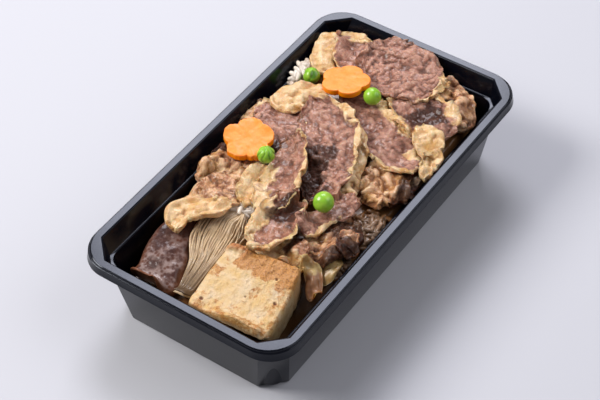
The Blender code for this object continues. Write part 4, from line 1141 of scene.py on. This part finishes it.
def simmered_mushroom(colours):
    """Dark glossy flesh with a pale frosted net, stronger along its length."""
    look = Finish("simmered_mushroom", colours, Coat_Weight=0.25, Coat_Roughness=0.12,
                  Specular_IOR_Level=0.2)
    broad, fine, net = look.noise(5.0), look.noise(0.9), look.cells(1.9)
    along = look.value("along")
    frost = look.times(look.ramp(net, 0.25, 0.55), look.ramp(broad, 0.42, 0.6))
    frost = look.times(frost, look.ramp(along, 0.25, 0.7, 0.05, 0.75))
    rim = look.times(look.value("rim"), look.ramp(along, 0.4, 0.9, 0.25, 0.9))
    body = look.layers(
        "mushroom", (look.ramp(broad, 0.35, 0.7), "mushroom_light"),
        (frost, "mushroom_frost"), (rim, "mushroom_rim"))
    normal = look.bump(net, 0.3, 0.6, look.bump(fine, 0.2, 0.5))
    look.finish(body, look.ramp(fine, 0.3, 0.7, 0.3, 0.5), normal)


def konjac_noodle(colours):
    """Grey-beige noodles with dark flecks, browner where they lie in the sauce."""
    look = food("konjac_noodle", colours, 0.15, 0.15, 0.15, 0.002, (1.0, 0.7, 0.4))
    tint, fleck = look.noise(4.0), look.noise(0.5, 2)
    body = look.layers(
        "konjac", (look.ramp(tint, 0.35, 0.65), "konjac_dark"),
        (look.value("along"), "konjac_stain"),
        (look.ramp(fleck, 0.62, 0.70, 0.0, 0.75), "konjac_fleck"))
    look.finish(body, look.ramp(tint, 0.3, 0.7, 0.25, 0.45), look.bump(fleck, 0.08, 0.4))


def grilled_tofu(colours):
    """Cream curd with golden and brown grilled patches, dark pits and a pale side."""
    look = food("grilled_tofu", colours, 0.12, 0.25, 0.15, 0.002, (1.0, 0.6, 0.3))
    broad, medium, fine = look.noise(7.0, 4), look.noise(2.6, 5, roughness=0.7), look.noise(0.7, 4)
    grilled = look.plus(look.value("crust"), look.ramp(medium, 0.25, 0.75, -0.62, 0.62))
    grilled = look.ramp(grilled, 0.3, 0.68)
    burnt = look.times(look.value("burnt"), look.ramp(medium, 0.3, 0.6, 0.2, 0.9))
    scorch = look.times(look.times(grilled, look.ramp(fine, 0.52, 0.68)), 0.8)
    body = look.layers(
        "tofu_cream", (look.ramp(broad, 0.35, 0.65), "tofu_yellow"),
        (look.times(grilled, 0.85), "tofu_gold"), (burnt, "tofu_red"),
        (scorch, "tofu_brown"), (look.value("pit"), "tofu_brown"),
        (look.times(look.value("side"), 0.7), "tofu_side"))
    normal = look.bump(medium, 0.8, 0.8, look.bump(fine, 0.4, 0.8))
    look.finish(body, look.ramp(medium, 0.3, 0.7, 0.4, 0.65), normal)


def carrot_flesh(colours):
    """Bright orange flesh with paler patches and flecks, and a deeper cut side."""
    look = food("carrot_flesh", colours, 0.08, 0.2, 0.2, 0.003, (1.0, 0.35, 0.1),
                Specular_IOR_Level=0.2)
    broad, fine = look.noise(4.0), look.noise(0.5)
    body = look.layers(
        "carrot", (look.ramp(broad, 0.35, 0.65, 0.0, 0.6), "carrot_pale"),
        (look.ramp(fine, 0.6, 0.72, 0.0, 0.4), "carrot_pale"),
        (look.value("side"), "carrot_side"))
    look.finish(body, look.ramp(broad, 0.3, 0.7, 0.3, 0.45), look.bump(fine, 0.1, 0.45))


def pea_skin(colours):
    """Glossy green skin, with painted shade in its dents."""
    look = food("pea_skin", colours, 0.35, 0.18, 0.2, 0.002, (0.5, 1.0, 0.2))
    broad, fine = look.noise(2.5), look.noise(0.45)
    body = look.layers(
        "pea", (look.ramp(broad, 0.35, 0.65), "pea_light"),
        # Painted shade in the dents and the hollow
        (look.ramp(look.value("ridge"), 0.02, 0.11), "pea_dent_shade"))
    look.finish(body, look.ramp(broad, 0.3, 0.7, 0.28, 0.4), look.bump(fine, 0.05, 0.4))


def steamed_rice(colours):
    """White rice with pale stains, dark brown away from its clean spots: sauce stain and painted
    shade.
    """
    look = food("steamed_rice", colours, 0.15, 0.15, 0.35, 0.003, (1.0, 0.85, 0.7))
    tint, fine = look.noise(9.0), look.noise(0.7)
    body = look.layers(
        "rice", (look.ramp(tint, 0.45, 0.7, 0.0, 0.5), "rice_stain"),
        # Sauce stain and painted shade away from the clean spots
        (look.value("steeped"), "rice_sauce_and_shade"))
    look.finish(body, look.ramp(fine, 0.3, 0.7, 0.25, 0.4), look.bump(fine, 0.06, 0.4))


def black_tray(colours):
    """Smooth black plastic with a cool shine and a very fine grain."""
    look = Finish("black_tray", colours, Specular_IOR_Level=0.28, Specular_Tint=(0.82, 0.87, 1.0))
    grain, cloud = look.noise(0.35, 2), look.noise(30.0)
    body = look.mix(cloud, "tray", "tray_light")
    look.finish(body, look.ramp(cloud, 0.3, 0.7, 0.13, 0.19), look.bump(grain, 0.02, 0.15))


def pale_floor(colours):
    """Plain pale floor with broad, soft changes of shine."""
    look = Finish("pale_floor", colours)
    look.finish("floor", look.ramp(look.noise(400.0, 2), 0, 1, 0.55, 0.65))


def colour_of(name, default):
    """A colour that can be changed in the panel."""
    return FloatVectorProperty(name=name, subtype="COLOR", size=3, min=0, max=1, default=default,
                               description=f"Colour of the {name.lower()}")


class FinishColours(bpy.types.PropertyGroup):
    """Colours of the finishes."""

    lean_mauve: colour_of("Mauve lean", (0.41, 0.205, 0.155))
    lean_brown: colour_of("Brown lean", (0.34, 0.14, 0.075))
    # Pale fibres of lean, also the painted highlight on its crests
    lean_pale_and_highlight: colour_of("Pale fibres of lean", (0.62, 0.37, 0.27))
    lean_deep: colour_of("Deep lean", (0.20, 0.075, 0.045))
    # Dark fibres of lean, also the painted shade in its hollows
    lean_dark_and_shade: colour_of("Dark fibres of lean", (0.11, 0.04, 0.025))
    # Sauce stain and painted shade on the dark parts of the slices
    steeped: colour_of("Meat steeped in sauce", (0.035, 0.009, 0.004))
    # Painted highlight on the crests of fat
    fat_crest_highlight: colour_of("Pale crests of fat", (0.80, 0.60, 0.37))
    fat_cream: colour_of("Cream fat", (0.68, 0.46, 0.24))
    fat_gold: colour_of("Golden fat", (0.58, 0.32, 0.10))
    # Tan of fat's cooked edges and spots, also the painted shade in its hollows
    fat_tan_and_shade: colour_of("Tan edge of fat", (0.50, 0.23, 0.085))
    # Painted highlight on the crests of cooked meat
    cooked_crest_highlight: colour_of("Cooked pale", (0.76, 0.49, 0.30))
    cooked_tan: colour_of("Cooked tan", (0.58, 0.30, 0.14))
    # Cooked brown, also the painted shade in the hollows of cooked meat and on the onion's dark
    # parts
    cooked_brown_and_shade: colour_of("Cooked brown", (0.30, 0.12, 0.05))
    # Sauce and painted shade in the folds and creases of meat and onion
    sauce: colour_of("Sauce in the folds", (0.06, 0.015, 0.005))
    onion: colour_of("Onion", (0.52, 0.37, 0.16))
    onion_stain: colour_of("Stained onion", (0.36, 0.19, 0.055))
    mushroom: colour_of("Mushroom", (0.05, 0.018, 0.014))
    mushroom_light: colour_of("Lighter mushroom", (0.12, 0.045, 0.028))
    mushroom_rim: colour_of("Mushroom edge", (0.20, 0.07, 0.03))
    mushroom_frost: colour_of("Mushroom net", (0.30, 0.22, 0.20))
    konjac: colour_of("Konjac noodle", (0.60, 0.43, 0.26))
    konjac_dark: colour_of("Stained konjac noodle", (0.44, 0.29, 0.16))
    konjac_stain: colour_of("Konjac in sauce", (0.12, 0.07, 0.035))
    konjac_fleck: colour_of("Konjac fleck", (0.10, 0.06, 0.04))
    tofu_cream: colour_of("Tofu", (0.66, 0.49, 0.30))
    tofu_yellow: colour_of("Yellow tofu", (0.62, 0.39, 0.14))
    tofu_gold: colour_of("Golden grilled tofu", (0.46, 0.18, 0.025))
    tofu_red: colour_of("Red-brown crust", (0.40, 0.13, 0.03))
    tofu_brown: colour_of("Scorched tofu", (0.17, 0.05, 0.012))
    tofu_side: colour_of("Tofu side", (0.60, 0.43, 0.24))
    carrot: colour_of("Carrot", (0.95, 0.27, 0.04))
    carrot_pale: colour_of("Pale carrot", (0.97, 0.36, 0.09))
    carrot_side: colour_of("Carrot side", (1.0, 0.27, 0.0))
    pea: colour_of("Pea", (0.22, 0.48, 0.02))
    pea_light: colour_of("Light pea", (0.32, 0.56, 0.04))
    # Painted shade in the dents and hollow of the peas
    pea_dent_shade: colour_of("Pea dent", (0.07, 0.22, 0.01))
    rice: colour_of("Rice", (0.80, 0.69, 0.58))
    rice_stain: colour_of("Rice with sauce", (0.55, 0.38, 0.24))
    # Rice in sauce, also the painted shade on rice that lies in shadow
    rice_sauce_and_shade: colour_of("Rice steeped in sauce", (0.22, 0.095, 0.03))
    tray: colour_of("Tray", (0.0015, 0.0018, 0.004))
    tray_light: colour_of("Lighter tray", (0.003, 0.0035, 0.007))
    floor: colour_of("Floor", (0.50, 0.50, 0.54))


def length_of(name, description, default, least=0):
    """A length in metres that can be changed in the panel."""
    return FloatProperty(name=name, description=description, default=default, min=least,
                         unit="LENGTH")


def number_of(name, description, default, least):
    """A whole number that can be changed in the panel."""
    return IntProperty(name=name, description=description, default=default, min=least)


def strength_of(name, description, default):
    """Strength of a light that can be changed in the panel."""
    return FloatProperty(name=name, description=description, default=default, min=0)


class FoodSizes(bpy.types.PropertyGroup):
    """Sizes of the food's detail."""

    fineness: length_of("Fineness", "Spacing of a slice's points", 0.45 * MM, 0.2 * MM)
    ragged: length_of("Ragged edge", "How far a slice's edge wanders", 1.3 * MM)
    overlap: length_of("Overlap", "How far a slice lies over its neighbours", 1.3 * MM)
    grain_length: length_of("Grain length", "Length of a grain of rice", 6.2 * MM, 3 * MM)
    grains: number_of("Grains", "Grains of rice before the hidden ones go", 8000, 0)
    noodles: number_of("Noodles", "Konjac noodles side by side", 40, 1)


class StageSizes(bpy.types.PropertyGroup):
    """Floor, lights and surroundings."""

    floor_size: length_of("Floor", "Side of the floor", 6.0, 1)
    key_power: strength_of("Key light", "Power of the key light in watts", 21.5)
    back_power: strength_of("Back light", "Power of the back light in watts", 14.0)
    fill_power: strength_of("Fill light", "Power of the fill light in watts", 12.0)
    sky: strength_of("Surroundings", "Strength of the light all round", 0.22)


class RICEBOX_OT_finishes(bpy.types.Operator):
    """Make the finishes of the tray and its food"""

    bl_idname = "ricebox.finishes"
    bl_label = "Finishes"

    def execute(self, context):
        colours = context.scene.ricebox_colours
        for make in (simmered_meat, clear_onion, simmered_mushroom, konjac_noodle, grilled_tofu,
                     carrot_flesh, pea_skin, steamed_rice, black_tray, pale_floor):
            make(colours)
        return {"FINISHED"}


class RICEBOX_OT_tray(bpy.types.Operator):
    """Make the black tray"""

    bl_idname = "ricebox.tray"
    bl_label = "Tray"

    def execute(self, context):
        build_tray()
        return {"FINISHED"}


class RICEBOX_OT_rice(bpy.types.Operator):
    """Make the bed of rice"""

    bl_idname = "ricebox.rice"
    bl_label = "Rice"

    def execute(self, context):
        build_rice(context.scene.ricebox_food)
        return {"FINISHED"}


class RICEBOX_OT_toppings(bpy.types.Operator):
    """Make the mushroom, noodles and tofu, and pile the slices on them"""

    bl_idname = "ricebox.toppings"
    bl_label = "Toppings"

    def execute(self, context):
        sizes = context.scene.ricebox_food
        pile = Pile()
        build_mushroom(pile, sizes)
        build_konjac(sizes)
        build_tofu(pile)
        for seed, name in enumerate(SLICES):
            build_slice(name, seed, pile, sizes)
        return {"FINISHED"}


class RICEBOX_OT_vegetables(bpy.types.Operator):
    """Make the carrot flowers and the peas"""

    bl_idname = "ricebox.vegetables"
    bl_label = "Carrots and Peas"

    def execute(self, context):
        for seed, name in enumerate(CARROTS):
            build_carrot(name, 900 + 10 * seed)
        for name in PEAS:
            build_pea(name)
        return {"FINISHED"}


def camera_pose():
    """Camera matrix from its azimuth, elevation, roll, aim and distance."""
    a, e, r = CAMERA_AZIMUTH, CAMERA_ELEVATION, CAMERA_ROLL
    back = np.array([math.sin(a) * math.cos(e), -math.cos(a) * math.cos(e), math.sin(e)])
    right = np.cross([0.0, 0.0, 1.0], back)
    right /= np.linalg.norm(right)
    up = np.cross(back, right)
    axes = np.array([math.cos(r) * right + math.sin(r) * up,
                     -math.sin(r) * right + math.cos(r) * up, back])
    place = axes.T @ np.array(CAMERA_AIM) + (0, 0, CAMERA_TARGET_HEIGHT)
    pose = np.eye(4)
    pose[:3, :3] = axes.T
    pose[:3, 3] = place * MM
    return Matrix(pose.tolist())


def add_light(name, place, size, power, colour):
    """A square light at a place, turned to the tray."""
    light = bpy.data.lights.new(name, "AREA")
    light.energy, light.size, light.color = power, size, colour
    lamp = bpy.data.objects.new(name, light)
    bpy.context.scene.collection.objects.link(lamp)
    lamp.location = place
    lamp.rotation_euler = (-lamp.location).to_track_quat("-Z", "Y").to_euler()


class RICEBOX_OT_stage(bpy.types.Operator):
    """Make the floor, the lights and the camera"""

    bl_idname = "ricebox.stage"
    bl_label = "Stage"

    def execute(self, context):
        scene = context.scene
        sizes = scene.ricebox_stage
        half = sizes.floor_size / 2
        mesh = bpy.data.meshes.new("floor")
        mesh.from_pydata([(-half, -half, 0), (half, -half, 0), (half, half, 0), (-half, half, 0)],
                         [], [(0, 1, 2, 3)])
        mesh.materials.append(bpy.data.materials["pale_floor"])
        floor = bpy.data.objects.new("floor", mesh)
        scene.collection.objects.link(floor)
        for name, place, size, colour in LIGHTS:
            add_light(name + " light", place, size, getattr(sizes, name + "_power"), colour)
        world = bpy.data.worlds.new("surroundings")
        world.use_nodes = True
        background = world.node_tree.nodes["Background"]
        background.inputs["Color"].default_value = SKY_COLOUR
        background.inputs["Strength"].default_value = sizes.sky
        scene.world = world
        scene.view_settings.view_transform = "Standard"
        camera = bpy.data.cameras.new("camera")
        camera.lens = CAMERA_LENS
        camera.sensor_width = CAMERA_SENSOR
        camera.clip_start, camera.clip_end = CAMERA_CLIP
        eye = bpy.data.objects.new("camera", camera)
        scene.collection.objects.link(eye)
        eye.matrix_world = camera_pose()
        scene.camera = eye
        return {"FINISHED"}


class RICEBOX_PT_panel(bpy.types.Panel):
    """Lists the steps and their settings"""

    bl_idname = "RICEBOX_PT_panel"
    bl_label = "Rice Box"
    bl_space_type = "VIEW_3D"
    bl_region_type = "UI"
    bl_category = "Rice Box"

    def draw(self, context):
        for step in STEPS:
            self.layout.operator(step.bl_idname)
        for group in GROUPS:
            settings = getattr(context.scene, group)
            for key in settings.bl_rna.properties.keys():
                if key not in ("rna_type", "name"):
                    self.layout.prop(settings, key)


STEPS = (RICEBOX_OT_finishes, RICEBOX_OT_tray, RICEBOX_OT_rice, RICEBOX_OT_toppings,
         RICEBOX_OT_vegetables, RICEBOX_OT_stage)
GROUPS = {"ricebox_colours": FinishColours, "ricebox_food": FoodSizes, "ricebox_stage": StageSizes}
CLASSES = (*GROUPS.values(), *STEPS, RICEBOX_PT_panel)


def register():
    """Adds the panel, the steps and their settings."""
    for one in CLASSES:
        bpy.utils.register_class(one)
    for name, group in GROUPS.items():
        setattr(bpy.types.Scene, name, PointerProperty(type=group))


def unregister():
    """Takes them away again."""
    for name in GROUPS:
        delattr(bpy.types.Scene, name)
    for one in reversed(CLASSES):
        bpy.utils.unregister_class(one)


def corners(box):
    """A box's two corners as lists."""
    return [list(corner) for corner in box]


def main():
    """Makes the model and its stage."""
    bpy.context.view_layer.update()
    register()
    bpy.ops.ricebox.finishes()
    bpy.ops.ricebox.tray()
    bpy.ops.ricebox.rice()
    bpy.ops.ricebox.toppings()
    bpy.ops.ricebox.vegetables()
    bpy.ops.ricebox.stage()
    bpy.context.view_layer.update()


if __name__ == "__main__":
    main()
